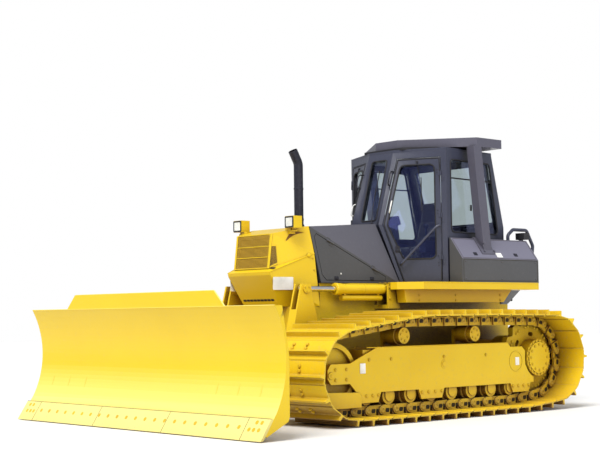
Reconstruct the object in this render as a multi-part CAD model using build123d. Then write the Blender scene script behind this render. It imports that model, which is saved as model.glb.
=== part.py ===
from build123d import *
import os
from math import acos, atan2, cos, hypot, pi, radians, sin, sqrt

# A wide-track bulldozer in millimetres.  X runs forward, Y to the driver's left, Z up from the ground.
# Stations along the machine are given from a point between the two track wheels; at() moves them so
# that zero lies under the middle of the machine's whole length.

FIT = 0.3                        # gap round a pin, or where two bodies run face to face
PANEL_GAP = 6.0                  # gap round a door or between two panels
BOTH_SIDES = (("left", 1), ("right", -1))

# ---- tracks
TRACK_INNER_Y = 635.0            # the shoes' inner edge, clear of the push frame
SHOE_WIDTH = 860.0
TRACK_CENTRE_Y = TRACK_INNER_Y + SHOE_WIDTH / 2
SHOE_THICK = 12.0
SHOE_PITCH = 190.0
GROUSER_HEIGHT = 52.0
GROUSER_FOOT = 34.0
GROUSER_TIP = 16.0
GROUSER_PLACE = 0.3              # where the grouser stands along its shoe
LINK_HALF_HEIGHT = 50.0
LINK_THICK = 36.0
LINK_SPREAD = 92.0               # from the chain's middle to the middle of a row of links
CHAIN_LIFT = 7.0                 # the pin line passes this far outside a small roller's own circle
PIN_LINE_Z = GROUSER_HEIGHT + SHOE_THICK + LINK_HALF_HEIGHT

IDLER_X = 1430.0
IDLER_PIN_RADIUS = 358.0
IDLER_Z = PIN_LINE_Z + IDLER_PIN_RADIUS + 6.0
IDLER_AXLE_RADIUS = 45.0
SPROCKET_X = -1556.0
SPROCKET_Z = 548.0
SPROCKET_PIN_RADIUS = 397.0
SPROCKET_TEETH = 13
SPROCKET_THICK = 64.0
HUB_RADIUS = 195.0
HUB_FACE_Y = TRACK_CENTRE_Y + 160.0
SPROCKET_HOLES = 6
SPROCKET_HOLE_PLACE = 252.0      # how far the oval holes stand from the middle
ROLLER_RADIUS = 85.0
ROLLER_FLANGE = 102.0
ROLLER_Z = PIN_LINE_Z + LINK_HALF_HEIGHT + ROLLER_RADIUS
ROLLER_FRONT_X = 1010.0
ROLLER_REAR_X = -1110.0
ROLLER_COUNT = 8
ROLLER_LENGTH = 230.0
CARRIER_RADIUS = 80.0
CARRIER_FLANGE = 94.0
CARRIER_Z = 820.0
CARRIER_XS = (476.0, -580.0)
POST_GAP = 5.0                   # between a carrier roller and its post

# ---- track frames: a beam with a plate down each side
FRAME_IN_Y = TRACK_CENTRE_Y - 150.0
FRAME_OUT_Y = TRACK_CENTRE_Y + 150.0
FRAME_PLATE = 22.0
FRAME_TOP_Z = 715.0
FRAME_LOW_Z = 290.0
FRAME_BEAM_LOW_Z = 365.0
FRAME_FRONT_X = 1250.0
FRAME_BEAM_FRONT_X = 1060.0
FRAME_REAR_X = -1100.0
FORK_HALF_HEIGHT = 95.0
ROCK_GUARDS = ((840.0, 1160.0), (-60.0, 320.0), (-1430.0, -1090.0))
TAIL_NOTCH = HUB_RADIUS + 20.0   # the outer plate's round notch for the sprocket's hub
ROCK_GUARD_Z = 195.0

# ---- hull
HULL_HALF_WIDTH = 420.0
HULL_LOW_Z = 400.0
HULL_TOP_Z = 1355.0
HULL_NOSE_Z = 1120.0             # the hull's top under the nose
HULL_SHELF_Z = 1130.0            # the shelf behind that carries the fuel tank
HULL_STEP_X = 895.0
HULL_FRONT_X = 1210.0
HULL_REAR_X = -2040.0
HULL_WALL = 60.0
CROSS_TUBE_XS = (-480.0, -1060.0)
CROSS_TUBE_Z = 520.0
CROSS_TUBE_RADIUS = 75.0
REAR_PAD_X = HULL_REAR_X - 14.0   # the flat pad on the hull's rear that carries a rear tool
REAR_PAD_HALF = 330.0
REAR_PAD_Z = (620.0, 1080.0)
DRAWBAR_REACH = 190.0
DRAWBAR_RADIUS = 90.0
DRAWBAR_BORE = 26.0
DRAWBAR_Z = (500.0, 560.0)

# ---- engine, a block on two cross-members of the hull
ENGINE_X = (-150.0, 825.0)
ENGINE_HALF_WIDTH = 280.0
ENGINE_Z = (620.0, 1520.0)

# ---- push frame, hinged on the hull
ARM_IN_Y = 485.0
ARM_OUT_Y = 595.0
ARM_MID_Y = (ARM_IN_Y + ARM_OUT_Y) / 2
ARM_PLATE = 22.0
LIFT_X = -100.0
LIFT_Z = 450.0
LIFT_PIN_RADIUS = 50.0
TOWER_PIN_X = 1230.0
TOWER_PIN_Z = 1290.0
CROSS_REAR_X = 1500.0
CROSS_FRONT_X = 1800.0
PUSH_LOW_Z = 330.0
PUSH_TOP_Z = 590.0
NOSE_DROP = 60.0                 # the push frame's nose is this much lower than its cross-member
FORK_PLATE = 35.0
ANGLE_X = 2530.0                 # the upright pin that the blade turns on
ANGLE_PIN_RADIUS = 40.0
FORK_RADIUS = 80.0
TILT_Z = 400.0                   # the fore-and-aft pin that the blade tilts on
TILT_PIN_RADIUS = 38.0
TILT_PIN_LENGTH = 36.0
YOKE_GAP = 6.0
YOKE_FRONT_X = ANGLE_X + 110.0
YOKE_PLATE = 22.0

# ---- blade: its curve is (back from EDGE_X, up from the ground)
BLADE_HALF_WIDTH = 1930.0
EDGE_X = 2960.0
EDGE_Z = 8.0
BLADE_TOP_Z = 1117.0
SKIN = 16.0
EDGE_PLATE = 25.0
EDGE_HEIGHT = 215.0
BLADE_KNEE = (-160.0, 250.0)
BLADE_BELLY = (-290.0, 640.0)
BLADE_TOP = (-170.0, BLADE_TOP_Z)
END_PLATE = 22.0
END_DEPTH = 150.0
GUARD_LOW_HALF = 1260.0
GUARD_TOP_HALF = 1115.0
GUARD_HEIGHT = 140.0

# ---- lift cylinders
LIFT_BASE_X = 60.0
LIFT_BASE_Z = 1290.0
LIFT_BORE_RADIUS = 52.0
LIFT_BARREL_LENGTH = 720.0
LIFT_ROD_RADIUS = 28.0
LIFT_ROD_START = 385.0           # the rod's inner end, from the base pin
LIFT_EYE_RADIUS = 46.0
LIFT_PIPE_X = (150.0, 715.0)     # the oil pipe under the barrel, from its rear end to its front
LIFT_PIPE_RADIUS = 30.0
LIFT_EYE_WIDTH = 50.0
LUG_GAP = 62.0                   # half the room between the plates that hold a lift cylinder
LUG_PLATE = 20.0
LUG_REAR = 110.0
LUG_FRONT = 60.0

# ---- angle cylinders
ANGLE_BASE = (1620.0, 435.0, 690.0)
ANGLE_EYE = (2580.0, 620.0, 690.0)
ANGLE_BORE_RADIUS = 45.0
ANGLE_ROD_RADIUS = 25.0
ANGLE_BARREL_LENGTH = 620.0
ANGLE_ROD_START = 350.0
ANGLE_EYE_RADIUS = 52.0
ANGLE_EYE_WIDTH = 44.0
BALL_RADIUS = 38.0
BALL_FLAT = 34.0
CLEVIS_GAP = 46.0
CLEVIS_PLATE = 20.0
BLADE_CLEVIS_GAP = 58.0

# ---- tilt cylinder, in the plane X = TILT_CYL_X behind the blade; its pins are (y, z)
TILT_CYL_X = 2565.0
TILT_BASE = (-150.0, 760.0)
TILT_EYE = (-700.0, 900.0)
TILT_BORE_RADIUS = 38.0
TILT_ROD_RADIUS = 22.0
TILT_BARREL_LENGTH = 400.0
TILT_ROD_START = 110.0
TILT_EYE_RADIUS = 36.0
TILT_EYE_WIDTH = 40.0
TILT_BASE_PIN_RADIUS = 20.0

# ---- upper works
DECK_Z = 1360.0                  # the line between the yellow fenders and the grey panels
FENDER_LOW_Z = 1285.0
SKIRT_LOW_Z = 1150.0
FENDER_OUT_Y = 930.0
FENDER_FRONT = (105.0, 735.0)
FENDER_REAR_X = -1970.0
BOX_OUT_Y = 920.0
BOX_FRONT_X = -705.0
BOX_REAR_X = -1985.0
TANK_REAR_X = -2160.0
WAIST_Z = 1990.0
ROOF_Z = 2785.0
ROOF_THICK = 30.0
CANOPY_LOW_Z = 2837.0
CANOPY_TOP_Z = 2935.0
POST_TOP_X = -1050.0
POST_LEAN = 0.12                 # how far a post leans forward per unit of height
CAB_WALL = 45.0
CAB_LOW_Z = DECK_Z + FIT
CAB_FLOOR = 20.0
GLASS = 8.0

# the cab's outline at three heights: (x, half width) of its front, door front, door post and rear corner
CAB_LOW = [(-374.8, 314.0), (-330.0, 370.0), (-690.0, 730.0), (-1755.0, 620.0)]
CAB_WAIST = [(-214.8, 154.0), (-170.0, 210.0), (-690.0, 730.0), (-1755.0, 620.0)]
CAB_TOP = [(-440.0, 165.0), (-300.0, 340.0), (-690.0, 730.0), (-1540.0, 642.2)]

# the nose's corners on the left, named from its top front corner down and back
NOSE = {"A": (1385.0, 267.0, 1845.0), "B": (1050.0, 440.0, 1920.0), "G": (1430.0, 265.0, 1492.0),
        "L": (1470.0, 330.0, 1464.0), "C": (1464.0, 330.0, 1430.0), "E": (1307.0, 262.0, HULL_NOSE_Z + FIT),
        "F": (906.0, 436.0, HULL_NOSE_Z + FIT), "D": (982.0, 445.0, 1650.0)}
NOSE_SHEET = 30.0
GRILLE_HALF = 218.0
GRILLE_Z = (1515.0, 1800.0)
GRILLE_BARS = 7

# the hood's corners on the left: front top, cowl, front foot and rear foot
HOOD = {"T": (1042.0, 440.0, 1918.0), "K": (-140.0, 190.0, 1998.0), "F": (896.0, 448.0, HULL_TOP_Z + FIT),
        "R": (-322.0, 370.0, HULL_TOP_Z + FIT)}
HOOD_SHEET = 34.0
EXHAUST_X = 785.0
EXHAUST_RADIUS = 48.0
EXHAUST_WALL = 6.0
EXHAUST_BEND_Z = 2605.0
EXHAUST_TIP = (860.0, 2735.0)     # the middle of the bent end, forward and up

# the hood's side door in the plane of T, F and R: (forward of R, up the panel)
HOOD_DOOR = [(235.0, 30.0), (1140.0, 30.0), (1200.0, 85.0), (1295.0, 459.0), (1268.0, 489.0), (235.0, 69.8)]
HOOD_HINGE = (235.0, 69.8, 1268.0, 489.0)
HOOD_DOOR_THICK = 14.0
HOOD_HINGES = (140.0, 860.0)     # places along the hinged edge

HINGE_RADIUS = 9.0
HINGE_LENGTH = 50.0
HINGE_LEAF = 34.0

X_ORIGIN = (EDGE_X + HULL_REAR_X - DRAWBAR_REACH - DRAWBAR_RADIUS) / 2


# ------------------------------------------------------------------ shapes

def at(x):
    return x - X_ORIGIN


def box(x0, x1, y0, y1, z0, z1):
    middle = Pos((at(x0) + at(x1)) / 2, (y0 + y1) / 2, (z0 + z1) / 2)
    return middle * Box(abs(x1 - x0), abs(y1 - y0), abs(z1 - z0))


def side_plane(y):
    """The plane whose own x is the machine's X and whose own y is Z."""
    return Plane(origin=(0, y, 0), x_dir=(1, 0, 0), z_dir=(0, -1, 0))


def side_prism(points, y0, y1):
    """An outline of (x, z) points, carried across the machine from y0 to y1."""
    outline = Polyline(*[(at(x), z) for x, z in points], close=True)
    return extrude(side_plane(y0) * make_face(outline), amount=-(y1 - y0))


def plan_prism(points, z0, z1):
    """An outline of (x, y) points, carried up from z0 to z1."""
    outline = Polyline(*[(at(x), y) for x, y in points], close=True)
    return extrude(Pos(0, 0, z0) * make_face(outline), amount=z1 - z0)


def front_prism(points, x0, x1):
    """An outline of (y, z) points, carried forward from x0 to x1."""
    outline = Polyline(*points, close=True)
    plane = Plane(origin=(at(x0), 0, 0), x_dir=(0, 1, 0), z_dir=(1, 0, 0))
    return extrude(plane * make_face(outline), amount=x1 - x0)


def point(x, y, z):
    return Vector(at(x), y, z)


def bar(start, end, radius):
    """A round bar between two points of the machine."""
    p = point(*start)
    run = point(*end) - p
    return Plane(origin=p, z_dir=run.normalized()) * Cylinder(
        radius, run.length, align=(Align.CENTER, Align.CENTER, Align.MIN))


def cross_bar(x, z, y0, y1, radius):
    return bar((x, y0, z), (x, y1, z), radius)


def upright(x, y, z0, z1, radius):
    return bar((x, y, z0), (x, y, z1), radius)


def polyhedron(corners, faces):
    """A solid with flat faces, each given by the names of its corners."""
    rings = [Polyline(*[point(*corners[name]) for name in face], close=True) for face in faces]
    return Solid(Shell([make_face(ring).face() for ring in rings]))


def solid_between(lower, upper):
    """A ruled block between two outlines of (x, y, z) points with as many corners each."""
    faces = [make_face(Polyline(*[(at(x), y, z) for x, y, z in outline], close=True)) for outline in (lower, upper)]
    return loft(faces, ruled=True)


def level(points, z):
    """A symmetric outline at one height from (x, half width) pairs, from the front."""
    return [(x, y, z) for x, y in points] + [(x, -y, z) for x, y in reversed(points)]


def mirrored(part):
    return mirror(part, about=Plane.XZ)


def sided(part, s):
    return part if s == 1 else mirrored(part)


def write(node, *parts):
    solids = [solid for part in parts for solid in part.solids()]
    export_step(Compound(children=solids), os.path.join("parts", node + ".step"))


# ------------------------------------------------------------------ track chain

def tangent(first, second):
    """Where a belt running anticlockwise outside two circles leaves the first and meets the second."""
    (x1, z1, r1), (x2, z2, r2) = first, second
    span = hypot(x2 - x1, z2 - z1)
    normal = atan2(z2 - z1, x2 - x1) - acos((r1 - r2) / span)
    return (x1 + r1 * cos(normal), z1 + r1 * sin(normal)), (x2 + r2 * cos(normal), z2 + r2 * sin(normal)), normal


def chain_wheels():
    """The circles that the chain's pin line runs round, anticlockwise seen from the right: (x, z, radius)."""
    roller_path = ROLLER_RADIUS + LINK_HALF_HEIGHT
    carrier_path = CARRIER_RADIUS + LINK_HALF_HEIGHT + CHAIN_LIFT
    return [(ROLLER_REAR_X, ROLLER_Z, roller_path), (ROLLER_FRONT_X, ROLLER_Z, roller_path),
            (IDLER_X, IDLER_Z, IDLER_PIN_RADIUS), (CARRIER_XS[0], CARRIER_Z, carrier_path),
            (CARRIER_XS[1], CARRIER_Z, carrier_path), (SPROCKET_X, SPROCKET_Z, SPROCKET_PIN_RADIUS)]


def chain_runs():
    """The pin line as (length, place) pairs, where place gives the point at a distance along that run."""
    wheels = chain_wheels()
    count = len(wheels)
    tangents = [tangent(wheels[i], wheels[(i + 1) % count]) for i in range(count)]
    runs = []
    for i, (leave, meet, normal) in enumerate(tangents):
        length = hypot(meet[0] - leave[0], meet[1] - leave[1])
        runs.append((length, lambda s, a=leave, b=meet, n=length: (a[0] + (b[0] - a[0]) * s / n,
                                                                  a[1] + (b[1] - a[1]) * s / n)))
        x, z, r = wheels[(i + 1) % count]
        turn = (tangents[(i + 1) % count][2] - normal) % (2 * pi)
        runs.append((r * turn, lambda s, x=x, z=z, r=r, n=normal: (x + r * cos(n + s / r), z + r * sin(n + s / r))))
    return runs


def chain_pins():
    """The chain's pins, evenly spaced round the whole loop."""
    runs = chain_runs()
    total = sum(length for length, place in runs)
    count = round(total / SHOE_PITCH)
    pins = []
    for i in range(count):
        s = i * total / count
        for length, place in runs:
            if s <= length:
                pins.append(place(s))
                break
            s -= length
    return pins


def link_frame(pins, i):
    """A link's first pin, its direction, its outward normal and its length."""
    (x0, z0), (x1, z1) = pins[i % len(pins)], pins[(i + 1) % len(pins)]
    span = hypot(x1 - x0, z1 - z0)
    along = ((x1 - x0) / span, (z1 - z0) / span)
    return (x0, z0), along, (along[1], -along[0]), span


def corner(pins, i, offset):
    """Where the faces of the two links at a pin meet, at a distance outside the pin line."""
    start, along, out, span = link_frame(pins, i)
    out_before = link_frame(pins, i - 1)[2]
    mid = (out[0] + out_before[0], out[1] + out_before[1])
    size = hypot(*mid)
    reach = offset / (size / 2)
    return start[0] + mid[0] / size * reach, start[1] + mid[1] / size * reach


def on_link(pins, i, share, offset):
    start, along, out, span = link_frame(pins, i)
    return start[0] + along[0] * span * share + out[0] * offset, start[1] + along[1] * span * share + out[1] * offset


def ring(outer, inner, y0, y1):
    return side_prism(outer, y0, y1) - side_prism(inner, y0 - 1, y1 + 1)


def track_loop(pins):
    """The chain's two rows of links and its shoes, each with one grouser, as one fixed loop."""
    plate = LINK_HALF_HEIGHT + SHOE_THICK
    foot = GROUSER_FOOT / SHOE_PITCH / 2
    top = GROUSER_TIP / SHOE_PITCH / 2
    grouser = ((GROUSER_PLACE - foot, plate), (GROUSER_PLACE - top, plate + GROUSER_HEIGHT),
               (GROUSER_PLACE + top, plate + GROUSER_HEIGHT), (GROUSER_PLACE + foot, plate))
    count = range(len(pins))
    outer = [spot for i in count for spot in [corner(pins, i, plate)] + [on_link(pins, i, *step) for step in grouser]]
    seat = [corner(pins, i, LINK_HALF_HEIGHT) for i in count]
    rail = [corner(pins, i, -LINK_HALF_HEIGHT) for i in count]
    loop = ring(outer, seat, TRACK_CENTRE_Y - SHOE_WIDTH / 2, TRACK_CENTRE_Y + SHOE_WIDTH / 2)
    for row in (-LINK_SPREAD, LINK_SPREAD):
        middle = TRACK_CENTRE_Y + row
        loop += ring(seat, rail, middle - LINK_THICK / 2, middle + LINK_THICK / 2)
    return loop


# ------------------------------------------------------------------ wheels and rollers

def wheel(x, z, tread, flange, length):
    half = length / 2
    flange_half = LINK_SPREAD - LINK_THICK
    body = cross_bar(x, z, TRACK_CENTRE_Y - half, TRACK_CENTRE_Y + half, tread)
    return body + cross_bar(x, z, TRACK_CENTRE_Y - flange_half, TRACK_CENTRE_Y + flange_half, flange)


def bottom_roller(x, clearance):
    """A roller with the end blocks that bolt its shaft up under the frame's beam."""
    body = wheel(x, ROLLER_Z, ROLLER_RADIUS - clearance, ROLLER_FLANGE, ROLLER_LENGTH)
    for s in (1, -1):
        y0, y1 = TRACK_CENTRE_Y + s * ROLLER_LENGTH / 2, TRACK_CENTRE_Y + s * (ROLLER_LENGTH / 2 + 12)
        body += box(x - 55, x + 55, min(y0, y1), max(y0, y1), ROLLER_Z, FRAME_BEAM_LOW_Z)
        body += cross_bar(x, ROLLER_Z, y0, y1, 55)
    return body


def carrier_roller(x):
    """A roller with the shaft that carries it on its post."""
    inner_y = TRACK_CENTRE_Y - ROLLER_LENGTH / 2
    roller = wheel(x, CARRIER_Z, CARRIER_RADIUS, CARRIER_FLANGE, ROLLER_LENGTH)
    return roller + cross_bar(x, CARRIER_Z, inner_y - POST_GAP + FIT, inner_y + 5, 35)


def idler():
    tread = IDLER_PIN_RADIUS * cos(SHOE_PITCH / IDLER_PIN_RADIUS / 2) - LINK_HALF_HEIGHT - 3
    half = LINK_SPREAD + LINK_THICK / 2
    y0, y1 = TRACK_CENTRE_Y - half, TRACK_CENTRE_Y + half
    body = cross_bar(IDLER_X, IDLER_Z, y0, y1, tread)
    body += cross_bar(IDLER_X, IDLER_Z, TRACK_CENTRE_Y - 40, TRACK_CENTRE_Y + 40, tread + 22)
    for face, inner in ((y1 - 40, y1 + 1), (y0 - 1, y0 + 40)):
        body -= cross_bar(IDLER_X, IDLER_Z, face, inner, tread - 45)
    body += cross_bar(IDLER_X, IDLER_Z, y0 - 8, y1 + 8, 95)
    return body - cross_bar(IDLER_X, IDLER_Z, y0 - 20, y1 + 20, IDLER_AXLE_RADIUS + FIT)


def sprocket():
    gap = pi / SPROCKET_TEETH
    root, tip = SPROCKET_PIN_RADIUS - 34, SPROCKET_PIN_RADIUS + 20
    tooth = ((-0.86 * gap, root), (-0.34 * gap, tip), (0.34 * gap, tip), (0.86 * gap, root))
    points = [(SPROCKET_X + radius * cos(2 * i * gap + turn), SPROCKET_Z + radius * sin(2 * i * gap + turn))
              for i in range(SPROCKET_TEETH) for turn, radius in tooth]
    y0, y1 = TRACK_CENTRE_Y - SPROCKET_THICK / 2, TRACK_CENTRE_Y + SPROCKET_THICK / 2
    body = side_prism(points, y0, y1)
    for i in range(SPROCKET_HOLES):
        turn = radians(22 + 360 * i / SPROCKET_HOLES)
        place = Plane(origin=point(SPROCKET_X - SPROCKET_HOLE_PLACE * cos(turn), y1 + 1,
                                   SPROCKET_Z + SPROCKET_HOLE_PLACE * sin(turn)),
                      x_dir=(sin(turn), 0, cos(turn)), z_dir=(0, -1, 0))
        body -= extrude(place * SlotOverall(78, 44), amount=SPROCKET_THICK + 2)
    body += cross_bar(SPROCKET_X, SPROCKET_Z, y0 - 20, HUB_FACE_Y, HUB_RADIUS)
    return body + cross_bar(SPROCKET_X, SPROCKET_Z, HUB_FACE_Y, HUB_FACE_Y + 12, 168)


def track_frame():
    """A box beam, a plate down each side, the idler's fork and the carrier rollers' posts."""
    beam = box(FRAME_REAR_X, FRAME_BEAM_FRONT_X, FRAME_IN_Y + FRAME_PLATE, FRAME_OUT_Y - FRAME_PLATE,
               FRAME_BEAM_LOW_Z, FRAME_TOP_Z - 20)
    cheek = [(FRAME_REAR_X, FRAME_LOW_Z + 60), (FRAME_REAR_X + 60, FRAME_LOW_Z), (FRAME_FRONT_X - 90, FRAME_LOW_Z),
             (FRAME_FRONT_X, FRAME_LOW_Z + 90), (FRAME_FRONT_X, IDLER_Z - FORK_HALF_HEIGHT),
             (IDLER_X + 70, IDLER_Z - FORK_HALF_HEIGHT), (IDLER_X + 110, IDLER_Z - 40), (IDLER_X + 110, IDLER_Z + 40),
             (IDLER_X + 70, IDLER_Z + FORK_HALF_HEIGHT), (FRAME_FRONT_X, IDLER_Z + FORK_HALF_HEIGHT),
             (FRAME_FRONT_X - 200, FRAME_TOP_Z - 60), (FRAME_FRONT_X - 360, FRAME_TOP_Z),
             (FRAME_REAR_X + 40, FRAME_TOP_Z), (FRAME_REAR_X, FRAME_TOP_Z - 40)]
    frame = beam
    for y0 in (FRAME_IN_Y, FRAME_OUT_Y - FRAME_PLATE):
        frame += side_prism(cheek, y0, y0 + FRAME_PLATE)
    tail = side_prism([(FRAME_REAR_X + 5, FRAME_TOP_Z - 42), (-1290, FRAME_TOP_Z - 42), (-1345, FRAME_TOP_Z - 90), (-1345, 480),
                       (-1480, 350), (-1480, FRAME_LOW_Z), (FRAME_REAR_X + 70, FRAME_LOW_Z)],
                      FRAME_OUT_Y - FRAME_PLATE, FRAME_OUT_Y)
    frame += tail - cross_bar(SPROCKET_X, SPROCKET_Z, FRAME_OUT_Y - 50, FRAME_OUT_Y + 1, TAIL_NOTCH)
    for x0, x1 in ROCK_GUARDS:
        frame += side_prism([(x0, FRAME_LOW_Z + 5), (x0 + 40, ROCK_GUARD_Z), (x1 - 40, ROCK_GUARD_Z), (x1, FRAME_LOW_Z + 5)],
                            FRAME_OUT_Y - FRAME_PLATE, FRAME_OUT_Y)
    frame += cross_bar(IDLER_X, IDLER_Z, FRAME_IN_Y + 1, FRAME_OUT_Y - 1, IDLER_AXLE_RADIUS)
    for x in CARRIER_XS:
        post_y = TRACK_CENTRE_Y - ROLLER_LENGTH / 2 - POST_GAP - 40
        frame += box(x - 55, x + 55, post_y, post_y + 40, FRAME_TOP_Z - 40, CARRIER_Z + 45)
    return frame


# ------------------------------------------------------------------ hull

def lift_bracket():
    """The plates on the hull's shoulder that hold a lift cylinder's barrel pin."""
    x0, x1 = LIFT_BASE_X - LUG_REAR, LIFT_BASE_X + LUG_FRONT
    foot_z = LIFT_BASE_Z - 160
    plate = [(x0, foot_z), (x1, foot_z), (x1, LIFT_BASE_Z + 50), (x0, LIFT_BASE_Z + 50)]
    inner, outer = ARM_MID_Y - LUG_GAP, ARM_MID_Y + LUG_GAP
    bracket = side_prism(plate, inner - LUG_PLATE, inner) + side_prism(plate, outer, outer + LUG_PLATE)
    bracket += box(x0, x1, HULL_HALF_WIDTH - 20, outer + LUG_PLATE, foot_z - 40, foot_z)
    bracket += box(x0, x0 + 25, inner - LUG_PLATE, outer + LUG_PLATE, foot_z, LIFT_BASE_Z + 50)
    return bracket + cross_bar(LIFT_BASE_X, LIFT_BASE_Z, inner - 5, outer + LUG_PLATE + 12, 28)


def main_frame():
    outline = [(HULL_STEP_X, HULL_TOP_Z), (HULL_STEP_X, HULL_NOSE_Z), (HULL_FRONT_X, HULL_NOSE_Z),
               (HULL_FRONT_X, HULL_LOW_Z + 220), (HULL_FRONT_X - 250, HULL_LOW_Z), (HULL_REAR_X + 250, HULL_LOW_Z),
               (HULL_REAR_X, HULL_LOW_Z + 150), (HULL_REAR_X, HULL_SHELF_Z), (-1900, HULL_SHELF_Z), (-1900, HULL_TOP_Z)]
    frame = side_prism(outline, -HULL_HALF_WIDTH, HULL_HALF_WIDTH)
    inner = HULL_HALF_WIDTH - HULL_WALL
    frame -= box(-250, HULL_STEP_X - HULL_WALL, -inner, inner, HULL_LOW_Z + 50, HULL_TOP_Z + 1)
    for x in (ENGINE_X[0] + 60, ENGINE_X[1] - 120):
        frame += box(x, x + 60, -inner - 1, inner + 1, ENGINE_Z[0] - 60, ENGINE_Z[0])
    frame += box(REAR_PAD_X, HULL_REAR_X, -REAR_PAD_HALF, REAR_PAD_HALF, *REAR_PAD_Z)
    for x in CROSS_TUBE_XS:
        frame += cross_bar(x, CROSS_TUBE_Z, -FRAME_IN_Y, FRAME_IN_Y, CROSS_TUBE_RADIUS)
    for side, s in BOTH_SIDES:
        frame += cross_bar(LIFT_X, LIFT_Z, s * (HULL_HALF_WIDTH - 10), s * (ARM_OUT_Y + 20), LIFT_PIN_RADIUS)
        frame += cross_bar(LIFT_X, LIFT_Z, s * (HULL_HALF_WIDTH - 10), s * (ARM_IN_Y - YOKE_GAP), 95)
    bracket = lift_bracket()
    return frame + bracket + mirrored(bracket)


def engine_block():
    return box(*ENGINE_X, -ENGINE_HALF_WIDTH, ENGINE_HALF_WIDTH, *ENGINE_Z)


def final_drive():
    drive = cross_bar(SPROCKET_X, SPROCKET_Z, HULL_HALF_WIDTH, 700, 190)
    return drive + cross_bar(SPROCKET_X, SPROCKET_Z, 700, TRACK_CENTRE_Y - SPROCKET_THICK / 2 - 20, 235)


def drawbar():
    end = HULL_REAR_X - DRAWBAR_REACH
    tongue = box(end, HULL_REAR_X, -DRAWBAR_RADIUS, DRAWBAR_RADIUS, *DRAWBAR_Z)
    tongue += upright(end, 0, *DRAWBAR_Z, DRAWBAR_RADIUS)
    return tongue - upright(end, 0, DRAWBAR_Z[0] - 1, DRAWBAR_Z[1] + 1, DRAWBAR_BORE)


# ------------------------------------------------------------------ push frame and yoke

def push_frame():
    arm = [(LIFT_X - 90, LIFT_Z - 60), (LIFT_X - 60, LIFT_Z - 90), (LIFT_X + 60, LIFT_Z - 100),
           (CROSS_REAR_X, PUSH_LOW_Z), (CROSS_FRONT_X, PUSH_LOW_Z), (CROSS_FRONT_X, PUSH_TOP_Z),
           (CROSS_REAR_X, PUSH_TOP_Z), (LIFT_X + 60, LIFT_Z + 100), (LIFT_X - 60, LIFT_Z + 90), (LIFT_X - 90, LIFT_Z + 60)]
    tower = [(960, 540), (TOWER_PIN_X - 75, TOWER_PIN_Z - 60), (TOWER_PIN_X - 60, TOWER_PIN_Z + 50),
             (TOWER_PIN_X + 60, TOWER_PIN_Z + 50), (TOWER_PIN_X + 90, TOWER_PIN_Z - 60), (1480, 580)]
    side = side_prism(arm, ARM_IN_Y, ARM_OUT_Y) + side_prism(tower, ARM_IN_Y, ARM_OUT_Y)
    side -= box(TOWER_PIN_X - 400, TOWER_PIN_X + 400, ARM_IN_Y + ARM_PLATE, ARM_OUT_Y - ARM_PLATE,
                TOWER_PIN_Z - 200, TOWER_PIN_Z + 60)
    for y0, y1 in ((ARM_IN_Y - 12, ARM_IN_Y + 1), (ARM_OUT_Y - 1, ARM_OUT_Y + 12)):
        side += cross_bar(TOWER_PIN_X, TOWER_PIN_Z, y0, y1, 44)
    side -= cross_bar(LIFT_X, LIFT_Z, ARM_IN_Y - 1, ARM_OUT_Y + 1, LIFT_PIN_RADIUS + FIT)
    frame = box(CROSS_REAR_X, CROSS_FRONT_X, -ARM_IN_Y - 5, ARM_IN_Y + 5, PUSH_LOW_Z, PUSH_TOP_Z)
    frame += side + mirrored(side)
    top = PUSH_TOP_Z - NOSE_DROP
    nose = [(CROSS_FRONT_X - 5, -400), (ANGLE_X - 110, -95), (ANGLE_X - 110, 95), (CROSS_FRONT_X - 5, 400)]
    frame += plan_prism(nose, PUSH_LOW_Z, top)
    for z0, z1 in ((PUSH_LOW_Z, PUSH_LOW_Z + FORK_PLATE), (top - FORK_PLATE, top)):
        frame += box(ANGLE_X - 120, ANGLE_X, -FORK_RADIUS, FORK_RADIUS, z0, z1) + upright(ANGLE_X, 0, z0, z1, FORK_RADIUS)
    frame += upright(ANGLE_X, 0, PUSH_LOW_Z, top, ANGLE_PIN_RADIUS)
    bx, by, bz = ANGLE_BASE
    for s in (1, -1):
        for z0, z1 in ((PUSH_TOP_Z - 5, bz - CLEVIS_GAP), (bz + CLEVIS_GAP, bz + CLEVIS_GAP + CLEVIS_PLATE)):
            frame += box(bx - 90, bx + 25, s * by - 45, s * by + 45, z0, z1)
        frame += box(bx - 110, bx - 85, s * by - 45, s * by + 45, PUSH_TOP_Z - 5, bz + CLEVIS_GAP + CLEVIS_PLATE)
        for z0, z1 in ((bz - CLEVIS_GAP - 1, bz - BALL_FLAT - FIT), (bz + BALL_FLAT + FIT, bz + CLEVIS_GAP + 1)):
            frame += upright(bx, s * by, z0, z1, 15)
    return frame


def blade_yoke():
    low, top = PUSH_LOW_Z + FORK_PLATE + YOKE_GAP, PUSH_TOP_Z - NOSE_DROP - FORK_PLATE - YOKE_GAP
    yoke = box(ANGLE_X - 60, YOKE_FRONT_X, -75, 75, low, top)
    yoke -= upright(ANGLE_X, 0, low - 1, top + 1, ANGLE_PIN_RADIUS + FIT)
    plate = [(-220, 310), (220, 310), (220, 560), (-60, 830), (-220, 830)]
    yoke += front_prism(plate, YOKE_FRONT_X - YOKE_PLATE, YOKE_FRONT_X)
    yoke += bar((YOKE_FRONT_X - 5, 0, TILT_Z), (YOKE_FRONT_X + TILT_PIN_LENGTH, 0, TILT_Z), TILT_PIN_RADIUS)
    back = TILT_CYL_X - TILT_EYE_WIDTH / 2 - 10
    return yoke + bar((back, *TILT_BASE), (YOKE_FRONT_X - 10, *TILT_BASE), TILT_BASE_PIN_RADIUS)


# ------------------------------------------------------------------ blade

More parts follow.
